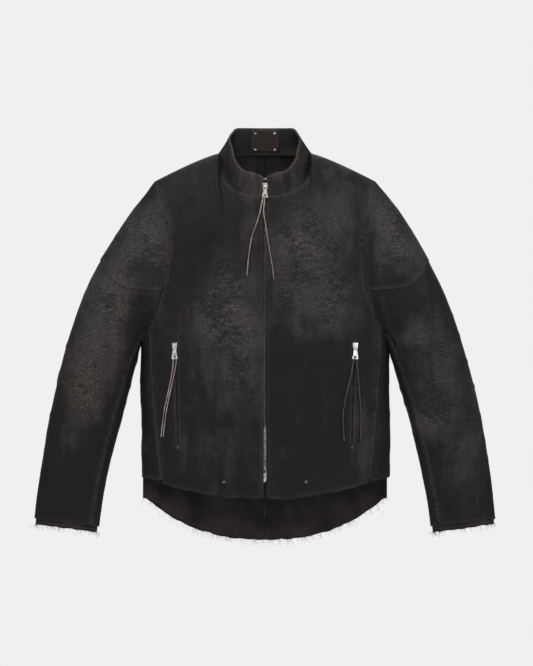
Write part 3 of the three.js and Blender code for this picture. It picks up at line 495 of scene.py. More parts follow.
def shell(name, outer, thickness, keep=None, inner=None, finishes=(), rim=3.2, bright=1.0):
    """A closed sheet of even thickness from a grid of outer points in mm; keep masks its cells.
    Cut edges get the second finish, and points near them carry a rim value, scaled by bright."""
    rows, columns = outer.shape[:2]
    if keep is None:
        keep = np.ones((rows - 1, columns - 1), bool)
    if inner is None:
        inner = outer - outward(outer) * thickness
    number = np.arange(rows * columns).reshape(rows, columns)
    quads = np.stack([number[:-1, :-1], number[1:, :-1], number[1:, 1:], number[:-1, 1:]], -1)[keep]
    many = rows * columns
    edges = quads[:, [[0, 1], [1, 2], [2, 3], [3, 0]]].reshape(-1, 2)
    key = edges[:, 0] * many + edges[:, 1]
    open_edges = edges[~np.isin(key, edges[:, 1] * many + edges[:, 0])]
    start, stop = open_edges.T
    sides = np.stack([stop, start, start + many, stop + many], -1)
    faces = np.concatenate([quads, quads[:, ::-1] + many, sides])
    points = np.concatenate([outer.reshape(-1, 3), inner.reshape(-1, 3)])
    border = np.unique(open_edges)
    tree = KDTree(len(border))
    for i, point in enumerate(points[border]):
        tree.insert(point, i)
    tree.balance()
    near = np.array([tree.find(p)[2] for p in points[:many]])
    used, faces = np.unique(faces, return_inverse=True)
    faces = faces.reshape(-1, 4)
    mesh = bpy.data.meshes.new(name)
    mesh.vertices.add(len(used))
    mesh.vertices.foreach_set("co", (points[used] * MM).astype(np.float32).ravel())
    mesh.loops.add(faces.size)
    mesh.loops.foreach_set("vertex_index", faces.astype(np.int32).ravel())
    mesh.polygons.add(len(faces))
    mesh.polygons.foreach_set("loop_start", np.arange(0, faces.size, 4, dtype=np.int32))
    mesh.update(calc_edges=True)
    mesh.shade_smooth()
    flat = np.zeros(len(faces), bool)
    flat[-len(sides):] = True
    mesh.attributes.new("sharp_face", "BOOLEAN", "FACE").data.foreach_set("value", flat)
    if len(finishes) > 1:
        mesh.polygons.foreach_set("material_index", flat.astype(np.int32))
    for finish in finishes:
        mesh.materials.append(finish)
    tan = total(TAN_SPOTS, outer) * on_front(outer)
    for key, values in (("wear_and_highlight", np.tile(rubbed_and_highlit_at(outer).ravel(), 2)), ("tan", np.tile(tan.ravel(), 2)),
                        ("rim", np.tile(np.exp(-near / rim) * np.ravel(bright), 2))):
        mesh.attributes.new(key, "FLOAT", "POINT").data.foreach_set("value", values[used].astype(np.float32))
    made = place(name, mesh)
    rest_points(made)
    return made


def group(name, inputs, outputs):
    """A node group with named sockets; returns the tree, its input node and its output node."""
    tree = bpy.data.node_groups.new(name, "ShaderNodeTree")
    for socket, kind in inputs:
        tree.interface.new_socket(socket, in_out="INPUT", socket_type=kind)
    for socket, kind in outputs:
        tree.interface.new_socket(socket, in_out="OUTPUT", socket_type=kind)
    return tree, tree.nodes.new("NodeGroupInput"), tree.nodes.new("NodeGroupOutput")


def maths(tree, operation, a, b=0.0, clamp=False):
    return node(tree, "ShaderNodeMath", (0, a), (1, b), operation=operation, use_clamp=clamp).outputs[0]


def mixed(tree, share, a, b, blend="MIX"):
    made = node(tree, "ShaderNodeMix", data_type="RGBA", blend_type=blend, clamp_factor=True)
    for socket, value in ((0, share), (6, a), (7, b)):
        if isinstance(value, bpy.types.NodeSocket):
            tree.links.new(value, made.inputs[socket])
        else:
            made.inputs[socket].default_value = value
    return made.outputs[2]


def band(tree, value, low, high):
    """0 below low, 1 above high, smooth between."""
    return node(tree, "ShaderNodeMapRange", ("Value", value), ("From Min", low), ("From Max", high),
                interpolation_type="SMOOTHSTEP").outputs["Result"]


def noise(tree, vector, scale, detail, roughness=0.5, distortion=0.0):
    return node(tree, "ShaderNodeTexNoise", ("Vector", vector), ("Scale", scale), ("Detail", detail),
                ("Roughness", roughness), ("Distortion", distortion)).outputs["Fac"]


def stretched(tree, vector, factors):
    return node(tree, "ShaderNodeVectorMath", (0, vector), (1, factors), operation="MULTIPLY").outputs[0]


def times(tree, a, b):
    return maths(tree, "MULTIPLY", a, b)


F, C, V = "NodeSocketFloat", "NodeSocketColor", "NodeSocketVector"
worn_hide_and_glints, given, gives = group(
    "worn_hide_and_glints", [("Place", V), ("Wear_and_highlight", F), ("Tan", F), ("Rim", F), ("Hide", C), ("Rubbed_and_highlight", C), ("Pale", C),
                  ("Raw", C)],
    [("Color", C), ("Roughness", F), ("Height", F)])
spot = given.outputs["Place"]
cloud = noise(worn_hide_and_glints, spot, 9.0, 8.0, 0.68, 0.5)
streak = noise(worn_hide_and_glints, stretched(worn_hide_and_glints, spot, (26.0, 26.0, 5.0)), 1.0, 6.0, 0.7, 1.2)
fleck = noise(worn_hide_and_glints, stretched(worn_hide_and_glints, spot, (95.0, 95.0, 220.0)), 1.0, 6.0, 0.72, 1.0)
scoring = noise(worn_hide_and_glints, stretched(worn_hide_and_glints, spot, (60.0, 60.0, 900.0)), 1.0, 3.0, 0.6)
cell = node(worn_hide_and_glints, "ShaderNodeTexVoronoi", ("Vector", spot), ("Scale", 150.0), ("Randomness", 1.0),
            feature="DISTANCE_TO_EDGE").outputs["Distance"]
wander = noise(worn_hide_and_glints, spot, 55.0, 3.0, 0.6)
bent = node(worn_hide_and_glints, "ShaderNodeVectorMath", (0, stretched(worn_hide_and_glints, spot, (75.0, 75.0, 150.0))),
            (1, wander), operation="ADD").outputs[0]
crack = node(worn_hide_and_glints, "ShaderNodeTexVoronoi", ("Vector", bent), ("Scale", 1.0), ("Randomness", 1.0),
             feature="DISTANCE_TO_EDGE").outputs["Distance"]
patchy = noise(worn_hide_and_glints, spot, 14.0, 3.0, 0.6)
pore = node(worn_hide_and_glints, "ShaderNodeTexVoronoi", ("Vector", spot), ("Scale", 720.0),
            feature="F1").outputs["Distance"]
fine = noise(worn_hide_and_glints, spot, 1100.0, 4.0)
loose = maths(worn_hide_and_glints, "ADD", times(worn_hide_and_glints, maths(worn_hide_and_glints, "SUBTRACT", cloud, 0.5), 1.9),
              times(worn_hide_and_glints, maths(worn_hide_and_glints, "SUBTRACT", streak, 0.5), 1.5))
worn_and_lit = maths(worn_hide_and_glints, "ADD", given.outputs["Wear_and_highlight"], loose)
rub_and_highlight = band(worn_hide_and_glints, worn_and_lit, 0.05, 1.15)
shade = mixed(worn_hide_and_glints, rub_and_highlight, given.outputs["Hide"], given.outputs["Rubbed_and_highlight"])
grained = times(worn_hide_and_glints, band(worn_hide_and_glints, scoring, 0.62, 0.42), rub_and_highlight)
shade = mixed(worn_hide_and_glints, times(worn_hide_and_glints, grained, 0.4), shade, given.outputs["Hide"])
clustered = maths(worn_hide_and_glints, "ADD", fleck, times(worn_hide_and_glints, maths(worn_hide_and_glints, "SUBTRACT", patchy, 0.5), 0.8))
dark_fleck = times(worn_hide_and_glints, band(worn_hide_and_glints, clustered, 0.52, 0.58), band(worn_hide_and_glints, worn_and_lit, 0.2, 0.7))
shade = mixed(worn_hide_and_glints, times(worn_hide_and_glints, dark_fleck, 0.72), shade, given.outputs["Hide"])
crackle = maths(worn_hide_and_glints, "SUBTRACT", 1.0, band(worn_hide_and_glints, cell, 0.0, 0.19))
cracked = times(worn_hide_and_glints, band(worn_hide_and_glints, crack, 0.11, 0.03), band(worn_hide_and_glints, patchy, 0.48, 0.62))
shade = mixed(worn_hide_and_glints, times(worn_hide_and_glints, cracked, 0.8), shade, given.outputs["Hide"])
bare = times(worn_hide_and_glints, band(worn_hide_and_glints, worn_and_lit, 0.85, 1.6), band(worn_hide_and_glints, fleck, 0.50, 0.38))
shade = mixed(worn_hide_and_glints, times(worn_hide_and_glints, bare, 0.4), shade, given.outputs["Pale"])
shade = mixed(worn_hide_and_glints, times(worn_hide_and_glints, times(worn_hide_and_glints, crackle, rub_and_highlight), 0.6), shade, given.outputs["Hide"])
# Painted highlights: fine pale specks, most where the hide is rubbed, stand in for light glinting off the
# crackled finish.
painted_glints = times(worn_hide_and_glints, band(worn_hide_and_glints, fine, 0.58, 0.72), band(worn_hide_and_glints, worn_and_lit, -0.1, 1.0))
shade = mixed(worn_hide_and_glints, times(worn_hide_and_glints, painted_glints, 0.35), shade, given.outputs["Pale"])
spotted = band(worn_hide_and_glints, noise(worn_hide_and_glints, spot, 330.0, 2.0), 0.54, 0.62)
freckle = times(worn_hide_and_glints, spotted, given.outputs["Tan"])
shade = mixed(worn_hide_and_glints, times(worn_hide_and_glints, freckle, 0.6), shade, TAN_FLECK)
# Pale raw-edge colour near cut edges; on the right front's zip edge low down this rim is a painted highlight.
edge = maths(worn_hide_and_glints, "MULTIPLY", given.outputs["Rim"], band(worn_hide_and_glints, fleck, 0.38, 0.62), clamp=True)
shade = mixed(worn_hide_and_glints, times(worn_hide_and_glints, edge, 0.5), shade, given.outputs["Raw"])
worn_hide_and_glints.links.new(shade, gives.inputs["Color"])
rough = maths(worn_hide_and_glints, "ADD", 0.42, times(worn_hide_and_glints, fleck, 0.24))
rough = maths(worn_hide_and_glints, "ADD", rough, times(worn_hide_and_glints, crackle, 0.12), clamp=True)
worn_hide_and_glints.links.new(rough, gives.inputs["Roughness"])
height = times(worn_hide_and_glints, pore, 0.35)
height = maths(worn_hide_and_glints, "ADD", height, times(worn_hide_and_glints, fleck, 0.6))
height = maths(worn_hide_and_glints, "SUBTRACT", height, times(worn_hide_and_glints, crackle, 0.5))
height = maths(worn_hide_and_glints, "SUBTRACT", height, times(worn_hide_and_glints, cracked, 0.9))
height = maths(worn_hide_and_glints, "ADD", height, times(worn_hide_and_glints, fine, 0.35))
height = maths(worn_hide_and_glints, "ADD", height, times(worn_hide_and_glints, scoring, 0.5))
worn_hide_and_glints.links.new(height, gives.inputs["Height"])


def value_of(tree, name):
    return node(tree, "ShaderNodeAttribute", attribute_name=name).outputs["Fac"]


def hide_finish(name, hide=HIDE, rubbed_and_highlight=RUBBED_AND_HIGHLIGHT, pale=PALE_HIDE, raw_and_glint=RAW_EDGE_AND_GLINT, bump=0.55):
    made, tree, shader = material(name, Specular_IOR_Level=0.16)
    worn_and_lit = node(tree, "ShaderNodeGroup", node_tree=worn_hide_and_glints)
    for socket, source in (("Place", rest_of(tree)), ("Wear_and_highlight", value_of(tree, "wear_and_highlight")),
                           ("Tan", value_of(tree, "tan")), ("Rim", value_of(tree, "rim"))):
        tree.links.new(source, worn_and_lit.inputs[socket])
    for socket, value in (("Hide", hide), ("Rubbed_and_highlight", rubbed_and_highlight), ("Pale", pale), ("Raw", raw_and_glint)):
        worn_and_lit.inputs[socket].default_value = value
    tree.links.new(worn_and_lit.outputs["Color"], shader.inputs["Base Color"])
    tree.links.new(worn_and_lit.outputs["Roughness"], shader.inputs["Roughness"])
    relief = node(tree, "ShaderNodeBump", ("Height", worn_and_lit.outputs["Height"]), ("Strength", bump),
                  ("Distance", 0.0007))
    tree.links.new(relief.outputs["Normal"], shader.inputs["Normal"])
    return made


def plain_finish(name, dark, light, scale, roughness, bump=0.4):
    """A matt finish that varies between two colours over a fine noise."""
    made, tree, shader = material(name, Roughness=roughness, Specular_IOR_Level=0.15)
    speckle = node(tree, "ShaderNodeTexNoise", ("Vector", rest_of(tree)), ("Scale", scale), ("Detail", 4.0))
    tree.links.new(ramp(tree, speckle.outputs["Fac"], (0.35, dark), (0.68, light)),
                   shader.inputs["Base Color"])
    relief = node(tree, "ShaderNodeBump", ("Height", speckle.outputs["Fac"]), ("Strength", bump),
                  ("Distance", 0.0004))
    tree.links.new(relief.outputs["Normal"], shader.inputs["Normal"])
    return made


body_hide = hide_finish("body_hide")
cut_edge = plain_finish("cut_edge", CUT_DARK, CUT_LIGHT, 420.0, 0.85)


def panel_grid(top_x, top_z, hem_z, neck_depth, facing, inner, outer, low_share):
    """The outer face of a body panel: columns spread along the neck and shoulder at the top, and by
    low_share(z) below the pit."""
    zones = [np.arange(n) / n for n in ZONE_ROWS]
    zone = np.concatenate([zones[0], 1 + zones[1], 2 + zones[2], [3.0]])[:, None]
    top = top_z(top_x)[None]
    share_top = ((top_x - top_x[0]) / (top_x[-1] - top_x[0]))[None]
    at_hem = np.full(len(top_x), float(SIDE_HEM_Z))
    share_hem = low_share(at_hem[None])
    hem = hem_z(inner(at_hem)[None] + share_hem * (outer(at_hem) - inner(at_hem))[None])
    pit = top - PIT_Z
    drop = np.where(zone < 1, ROLL_HEIGHT * (1 - np.cos(np.minimum(zone, 1) * math.pi / 2)), np.where(
        zone < 2, ROLL_HEIGHT + (pit - ROLL_HEIGHT) * (zone - 1), pit + (top - hem - pit) * (zone - 2)))
    z = top - drop
    share = share_top + (low_share(z) - share_top) * smooth(zone - 0.6)
    x = inner(z) + share * (outer(z) - inner(z))
    y = facing * face_depth(x, neck_depth, top_z(x) - z)
    return np.stack([x, y, z], -1)


def neck_and_shoulder(start, neck_columns, columns):
    turn = np.linspace(math.acos(start / NECK_HALF_WIDTH), 0, neck_columns + 1)
    across = np.linspace(NECK_HALF_WIDTH, SHOULDER_X, columns - neck_columns + 1)
    return np.r_[NECK_HALF_WIDTH * np.cos(turn), across[1:]]


LIP_COLUMNS = (46, 15)               # columns from the zip to the pocket, and on to the side seam


def slot_column(hand):
    """The column of cells that lies along the pocket's slot."""
    return LIP_COLUMNS[0 if hand == "left" else 1]


def zip_edge(z):
    low = smooth((LOW_LIP_Z[0] - z) / (LOW_LIP_Z[0] - LOW_LIP_Z[1]))
    high = smooth((z - SLIDER_LIP_Z[0]) / (SLIDER_LIP_Z[1] - SLIDER_LIP_Z[0]))
    return ZIP_LIP + (LOW_LIP - ZIP_LIP) * np.maximum(low, high)


def eased(grid, rounds=160):
    """Rounds off the crease where the shoulder comes down beside the neck."""
    near = np.exp(-((grid[..., 0] - 98) / 34) ** 2 - ((grid[..., 2] + 30) / 48) ** 2)[1:-1, 1:-1]
    depth = grid[..., 1]
    for _ in range(rounds):
        mean = (depth[2:, 1:-1] + depth[:-2, 1:-1] + depth[1:-1, 2:] + depth[1:-1, :-2]) / 4
        depth[1:-1, 1:-1] += (mean - depth[1:-1, 1:-1]) * near
    return grid


def front_grid(start, edge):
    """The left front's outer face, with a pair of columns along the pocket's two lips."""
    columns = sum(LIP_COLUMNS) + 1

    def low_share(z):
        span = edge(z) - start(z)
        lips = [(slot_x(z) + hand * LIP - start(z)) / span for hand in (-1, 1)]
        j = np.arange(columns + 1)
        inside = lips[0] * j / LIP_COLUMNS[0]
        outside = lips[1] + (1 - lips[1]) * (j - LIP_COLUMNS[0] - 1) / LIP_COLUMNS[1]
        return np.where(j <= LIP_COLUMNS[0], inside, outside)
    return eased(panel_grid(neck_and_shoulder(float(start(0.0)), NECK_COLUMNS, columns), front_top, front_hem,
                            NECK_FRONT_DEPTH, -1, start, edge, low_share))


def back_grid(edge):
    """The left back's outer face, in even columns below the pit."""
    even_shares = np.linspace(0, 1, BACK_COLUMNS + 1)
    return panel_grid(neck_and_shoulder(CENTRE_GAP, NECK_COLUMNS, BACK_COLUMNS), back_top, tail_hem,
                      NECK_BACK_DEPTH, 1, lambda z: np.full_like(z, CENTRE_GAP), edge,
                      lambda z: np.broadcast_to(even_shares, (len(z), BACK_COLUMNS + 1)))[:, ::-1]


def side_grid():
    """The left side panel's outer face, from its front seam round to its back seam."""
    turn = np.linspace(-1, 1, 41)[None]
    top = PIT_Z + (SIDE_SEAM_TOP_Z - PIT_Z) * np.abs(turn) ** SIDE_TOP_POWER - PIT_GAP
    hem = SIDE_HEM_Z - SIDE_HEM_FRONT_DROP * np.maximum(0, -turn)
    z = top + np.linspace(0, 1, 62)[:, None] * (hem - top)
    edge = np.where(turn < 0, front_seam_x(z), back_seam_x(z)) + SEAM_GAP
    angle = turn * np.arccos(edge / HALF_CHEST)
    return np.stack([HALF_CHEST * np.cos(angle), HALF_DEPTH * np.sin(angle), z], -1)


def handed(grid, hand):
    return grid if hand == "left" else grid[:, ::-1] * (-1, 1, 1)


def draped(grid, sides, span=5):
    """Adds the drape along the normals, dying out towards the sewn sides."""
    lift = drape(grid) * rim_fade(grid.shape[:2], sides, span)
    aside = (np.abs(grid[..., 0]) - slot_x(grid[..., 2])) / POCKET_CALM
    beside_pocket = (grid[..., 1] < 0) * np.exp(-aside ** 2) * smooth((-300 - grid[..., 2]) / 60)
    lift = lift * (1 - 0.85 * beside_pocket * smooth((grid[..., 2] + 640) / 30))
    return grid + outward(grid) * lift[..., None]


def frayed(grid, seed, depth=0.9):
    """Lets the last row wander, as a hand-cut hem does."""
    cut = grid.copy()
    cut[-1, :, 2] += depth * waves(grid[-1] * (1, 1, 0), 30, seed, 3)
    return cut


def swinging(obj):
    """Bakes a piece's placement into its mesh."""
    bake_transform(obj)


grids = {}
for hand in ("left", "right"):
    front = frayed(draped(handed(front_grid(zip_edge, front_edge), hand), ("top", "left", "right")), 21)
    z = front[:-1, slot_column(hand), 2]
    keep = np.ones((front.shape[0] - 1, front.shape[1] - 1), bool)
    keep[(z < SLOT_Z[1]) & (z > SLOT_Z[0]), slot_column(hand)] = False
    grids[f"{hand}_front"] = front
    from_zip = smooth((np.abs(front[..., 0]) - 4) / 10)
    # Painted highlight: on the right front the pale rim runs full along the zip edge from about z -330 down,
    # as a glint of light; elsewhere the rim is held back near the zip.
    painted_zip_glint = smooth((-330 - front[..., 2]) / 60) if hand == "right" else 0.15
    piece = shell(f"{hand}_front_leather", front, LEATHER, keep, finishes=(body_hide, cut_edge),
                  bright=painted_zip_glint + (1 - painted_zip_glint) * from_zip)
    swinging(piece)
    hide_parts(f"{hand}_front_panel_inner", f"{hand}_front_panel_outer")

    back = frayed(draped(handed(back_grid(back_edge), hand), ("top", "left", "right")), 23)
    grids[f"{hand}_back"] = back
    piece = shell(f"{hand}_back_leather", back, LEATHER, finishes=(body_hide, cut_edge))
    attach(piece, "torso")
    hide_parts(f"{hand}_back_panel")

    flank = frayed(draped(handed(side_grid(), hand), ("top", "left", "right")), 25)
    grids[f"{hand}_side"] = flank
    piece = shell(f"{hand}_side_leather", flank, LEATHER, finishes=(body_hide, cut_edge))
    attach(piece, "torso")
    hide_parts(f"{hand}_side_panel")

# ---------------------------------------------------------------- sleeves
# Each sleeve is a short cap sewn into the armhole, a wide top piece and a narrow under piece.
# The cap's raw edge laps over the top piece; the sleeve hangs, and lifts away below the cap.

SLEEVE_OUTER = [(221, -56), (388, -247), (436, -488), (462, -732)]
SLEEVE_INNER = [(249, -379), (277, -502), (316, -622), (331, -748)]
SLEEVE_LAG, SLEEVE_FADE = 2.2, 0.35
SLEEVE_DEPTHS = (44, 56, 42, 24)
CAP_SEAM, CAP_END, CAP_POWER, CAP_ROWS = 0.26, 111, 5, 44
CUT_GAP = 0.2                        # the top and under pieces stop this many degrees short of their seams
UNDER_FRONT, UNDER_BACK = (153, 137), 260
CAP_LIFT = 0.9                       # the cap's edge stands this far out over the piece below
TUCK = 0.008                         # share of the sleeve that runs up under the cap


def cubic(values, t):
    s = 1 - t
    return values[0] * s ** 3 + 3 * values[1] * s * s * t + 3 * values[2] * s * t * t + values[3] * t ** 3


def sleeve_ring(angle, t):
    """A point of the plain sleeve: angle 0 is its outer edge, 90 degrees the front, 180 the inner edge."""
    lag = t ** SLEEVE_LAG
    outer = [cubic([p[k] for p in SLEEVE_OUTER], t) for k in (0, 1)]
    inner = [cubic([p[k] for p in SLEEVE_INNER], lag) for k in (0, 1)]
    share = (1 + np.cos(angle)) / 2
    return np.stack([inner[0] + (outer[0] - inner[0]) * share, -cubic(SLEEVE_DEPTHS, t) * np.sin(angle),
                     inner[1] + (outer[1] - inner[1]) * share], -1)


def sleeve_points(degrees, t):
    degrees, t = np.broadcast_arrays(np.asarray(degrees, float), np.asarray(t, float))
    angle = np.radians(degrees)
    start = sleeve_ring(angle, np.zeros_like(t))
    x = armhole_x(start[..., 2])
    depth = face_depth(x, NECK_FRONT_DEPTH, front_top(x) - start[..., 2])
    armhole = np.stack([x, -np.sign(np.sin(angle)) * depth, start[..., 2]], -1)
    fade = np.maximum(0, 1 - t / SLEEVE_FADE)[..., None] ** 2
    return sleeve_ring(angle, t) + (armhole - start) * fade


def cap_end(degrees):
    turn = np.abs(np.where(degrees > 180, degrees - 360, degrees)) / CAP_END
    return CAP_SEAM * np.maximum(0, 1 - turn ** CAP_POWER)


def creased(grid, sides, span):
    """The sleeve's drape: slack along its length and folds across the elbow's inner bend."""
    down = clamp01((-grid[..., 2] - 60) / 680)
    bend = np.exp(-((down - 0.56) / 0.16) ** 2)
    slack = 1.4 * waves(grid, 210, 31, 2, (1, 1, 0.6)) + 0.12 * waves(grid, 45, 33, 2)
    fold = np.clip(1 - np.abs(waves(grid, 120, 35, 1, (0.55, 0.8, 1.5))) * 2, 0, 1) ** 2
    lift = (slack + (0.4 + 1.3 * bend) * fold) * rim_fade(grid.shape[:2], sides, span)
    return grid + outward(grid) * lift[..., None]


def sleeve_fold(obj):
    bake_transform(obj)


for hand in ("left", "right"):
    turn = np.linspace(CAP_END - 0.5, -CAP_END + 0.5, 91)[None]
    cap = handed(sleeve_points(turn, np.linspace(0, 1, CAP_ROWS)[:, None] * cap_end(turn)), hand)
    lap = smooth(np.linspace(-2.2, 1, CAP_ROWS))[:, None, None] * CAP_LIFT
    cap = creased(cap, ("top",), 8)
    cap = cap + outward(cap) * lap
    grids[f"{hand}_cap"] = cap
    piece = shell(f"{hand}_cap_leather", cap, LEATHER, finishes=(body_hide, cut_edge))
    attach(piece, "torso")
    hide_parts(f"{hand}_sleeve_cap")

    down = np.linspace(0, 1, 131)[:, None]
    front_seam = UNDER_FRONT[0] + (UNDER_FRONT[1] - UNDER_FRONT[0]) * down
    for name, start, stop, columns, solid in (
            ("top", front_seam - CUT_GAP, np.full_like(down, UNDER_BACK - 360 + CUT_GAP), 100, "sleeve_top"),
            ("under", np.full_like(down, UNDER_BACK - CUT_GAP), front_seam + CUT_GAP, 52, "sleeve_under")):
        degrees = start + (stop - start) * np.linspace(0, 1, columns + 1)[None]
        begin = np.maximum(0, cap_end(degrees) - TUCK)
        plain = handed(sleeve_points(degrees, begin + down * (1 - begin)), hand)
        begin = begin if hand == "left" else begin[:, ::-1]
        loose = 1 - (1 - smooth(down * 10)) * (1 - smooth(begin * 15))
        sleeve = plain + (creased(plain, ("left", "right"), 4) - plain) * loose[..., None]
        tucked = smooth(1 - down * 9) * (begin > 0)
        sleeve = sleeve - outward(sleeve) * (tucked * CAP_LIFT)[..., None]
        sleeve = frayed(sleeve, 41)
        grids[f"{hand}_{name}"] = sleeve
        piece = shell(f"{hand}_{name}_sleeve", sleeve, LEATHER, finishes=(body_hide, cut_edge))
        sleeve_fold(piece)
        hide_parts(f"{hand}_{solid}")

# ---------------------------------------------------------------- collar and its facing
# A stand collar of the same hide, sewn round the neck in two halves, with a facing inside it.
# Its top edge is cut raw, and the facing is drawn up to it there.

COLLAR_TOP = [
    (0, -62, -49), (24, -59.5, -39), (41, -54, -36), (54, -45, -25), (64, -30, -8), (67, -17, 10),
    (71, 0, 31), (65, 14, 43), (58, 24, 51), (35, 33, 52), (0, 37, 52)]
COLLAR_SIDE, COLLAR_EDGE_X, COLLAR_FOOT_Z = 0.6, 3.9, 0.3
COLLAR_TUCK = -0.045                 # share of its height that the collar runs down behind the body
FACING_DEPTH, FACING_START, FACING_TOP = 3.8, 0.028, 2.0
COLLAR_RUBBED, FACING_RUBBED = (0.07, 0.058, 0.053, 1), (0.03, 0.025, 0.023, 1)


def neckline(run):
    front_angle = math.pi / 2 * (1 - np.minimum(run / COLLAR_SIDE, 1))
    rear_angle = math.pi / 2 * np.maximum(0, (run - COLLAR_SIDE) / (1 - COLLAR_SIDE))
    x = NECK_HALF_WIDTH * np.cos(front_angle)
    front = np.stack([x, -NECK_FRONT_DEPTH * np.sin(front_angle), COLLAR_FOOT_Z - neck_dip(x)], -1)
    rear = np.stack([NECK_HALF_WIDTH * np.cos(rear_angle), NECK_BACK_DEPTH * np.sin(rear_angle),
                     np.full_like(run, COLLAR_FOOT_Z)], -1)
    return np.where((run < COLLAR_SIDE)[..., None], front, rear)


def collar_grid(start, stop, columns=84, rows=17, low=0.0, high=1.0):
    run = np.linspace(start, stop, columns + 1)
    own = np.where(run > 1, 2 - run, run)
    foot, top = neckline(own), spline(COLLAR_TOP, own)
    up = np.linspace(high, low, rows)[:, None, None]
    grid = foot + (top - foot) * up
    grid[..., 0] *= np.where(run > 1, -1, 1)
    return grid


def collar_wave(grid, sides):
    lift = 0.9 * waves(grid, 90, 51, 2) * rim_fade(grid.shape[:2], sides, 5)
    return grid + outward(grid) * lift[..., None]


collar_hide = hide_finish("collar_hide", rubbed_and_highlight=COLLAR_RUBBED)
facing_hide = hide_finish("facing_hide", rubbed_and_highlight=FACING_RUBBED)
collar_edge_run = COLLAR_SIDE * (1 - math.acos(COLLAR_EDGE_X / NECK_HALF_WIDTH) / (math.pi / 2))
for hand in ("left", "right"):
    collar = handed(collar_grid(collar_edge_run, 1, low=COLLAR_TUCK), hand)
    collar = collar_wave(collar, ("bottom", "left", "right"))
    grids[f"{hand}_collar"] = collar
    piece = shell(f"{hand}_collar_leather", collar, LEATHER, finishes=(collar_hide, cut_edge))
    swinging(piece)
    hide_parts(f"{hand}_collar_front", "collar_rear")

    face = handed(collar_grid(FACING_START, 1, low=2 * COLLAR_TUCK), hand)
    face = collar_wave(face, ("bottom", "left", "right"))
    rise = np.linspace(1, 0, len(face))[:, None]
    from_zip = np.linspace(0, 1, face.shape[1])[None]
    from_zip = from_zip if hand == "left" else from_zip[:, ::-1]
    drawn_up = smooth((rise - 0.6) / 0.4) * smooth(from_zip * 8 - 0.6)
    depth = FACING_DEPTH - (FACING_DEPTH - FACING_TOP) * drawn_up
    face = face - outward(face) * depth[..., None]
    piece = shell(f"{hand}_facing_leather", face, LEATHER, finishes=(facing_hide, cut_edge))
    swinging(piece)
    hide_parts(f"{hand}_collar_facing_front", "collar_facing_rear")

# ---------------------------------------------------------------- neck patch
# A small plain patch of worn brown leather inside the back of the collar, stitched round its edge
# and held by a dome rivet at each corner.

PATCH_REACH, PATCH_LOW, PATCH_HIGH, PATCH_THICK = 0.078, 0.09, 0.95, 1.2
PATCH_DEPTH = 6.0

patch_hide = hide_finish("patch_hide", hide=(0.016, 0.01, 0.009, 1), rubbed_and_highlight=(0.06, 0.042, 0.036, 1),
                         pale=(0.2, 0.17, 0.15, 1))
patch = collar_grid(1 - PATCH_REACH, 1 + PATCH_REACH, 22, 15, PATCH_LOW, PATCH_HIGH)
patch = patch - outward(patch) * (PATCH_DEPTH - 0.25 * waves(patch, 30, 61, 2))[..., None]
piece = shell("neck_patch_leather", patch, PATCH_THICK, finishes=(patch_hide, cut_edge), rim=1.6)
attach(piece, "torso")
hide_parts("neck_patch")

# ---------------------------------------------------------------- lining
# Thin brown-black cloth inside the body and the sleeves, cut like the leather but a little longer
# at the cuffs. It is left raw and frays, and hangs in soft upright folds at the tail.

LINING, LINING_DEPTH, SLEEVE_LINING_DEPTH = 0.8, 4.3, 3.4
LINING_START_X = 12
POCKET_ROOM, POCKET_ROOM_SPANS = 6.5, (105, 72)
CUFF_SHOW = 0.014
CLOTH, CLOTH_LIGHT = (0.009, 0.0074, 0.0074, 1), (0.044, 0.037, 0.0365, 1)

woven, given, gives = group("woven_cloth", [("Place", V), ("Dark", C), ("Light", C), ("Threads", F)],
                            [("Color", C), ("Height", F)])
weft, warp = (
    node(woven, "ShaderNodeTexWave", ("Vector", given.outputs["Place"]), ("Scale", given.outputs["Threads"]),
         ("Distortion", 1.5), ("Detail", 1.0), wave_type="BANDS", bands_direction=way).outputs["Fac"]
    for way in ("Z", "X"))
weave = maths(woven, "MAXIMUM", weft, warp)
slub = node(woven, "ShaderNodeTexNoise", ("Vector", given.outputs["Place"]), ("Scale", 26.0),
            ("Detail", 6.0)).outputs["Fac"]
thick = times(woven, band(woven, slub, 0.25, 0.8), 0.6)
tone = maths(woven, "ADD", times(woven, weave, 0.3), thick, clamp=True)
woven.links.new(mixed(woven, tone, given.outputs["Dark"], given.outputs["Light"]), gives.inputs["Color"])
woven.links.new(maths(woven, "ADD", weave, times(woven, slub, 0.6)), gives.inputs["Height"])


def cloth_finish(name, dark, light, threads, rigid=False):
    """Woven cloth; on a rigid solid the weave is laid out in the solid's own space."""
    made, tree, shader = material(name, Roughness=0.88, Specular_IOR_Level=0.1)
    cloth = node(tree, "ShaderNodeGroup", node_tree=woven)
    place_at = node(tree, "ShaderNodeTexCoord").outputs["Object"] if rigid else rest_of(tree)
    tree.links.new(place_at, cloth.inputs["Place"])
    for socket, value in (("Dark", dark), ("Light", light), ("Threads", threads)):
        cloth.inputs[socket].default_value = value
    tree.links.new(cloth.outputs["Color"], shader.inputs["Base Color"])
    relief = node(tree, "ShaderNodeBump", ("Height", cloth.outputs["Height"]), ("Strength", 0.4),
                  ("Distance", 0.0003))
    tree.links.new(relief.outputs["Normal"], shader.inputs["Normal"])
    return made


lining_cloth = cloth_finish("lining_cloth", CLOTH, CLOTH_LIGHT, 190.0)


def tail_folds(grid, sides):
    """Soft upright folds in the lining that shows at the tail."""
    low = smooth((-600 - grid[..., 2]) / 90)
    fold = 3.2 * waves(grid, 90, 71, 2, (1, 0, 0.22)) + 0.9 * waves(grid, 34, 73, 2, (1, 0, 0.5))
    return -np.maximum(0, fold + 0.6) * low * rim_fade(grid.shape[:2], sides, 4)


def lining_start(z):
    return np.full_like(np.asarray(z, float), LINING_START_X)


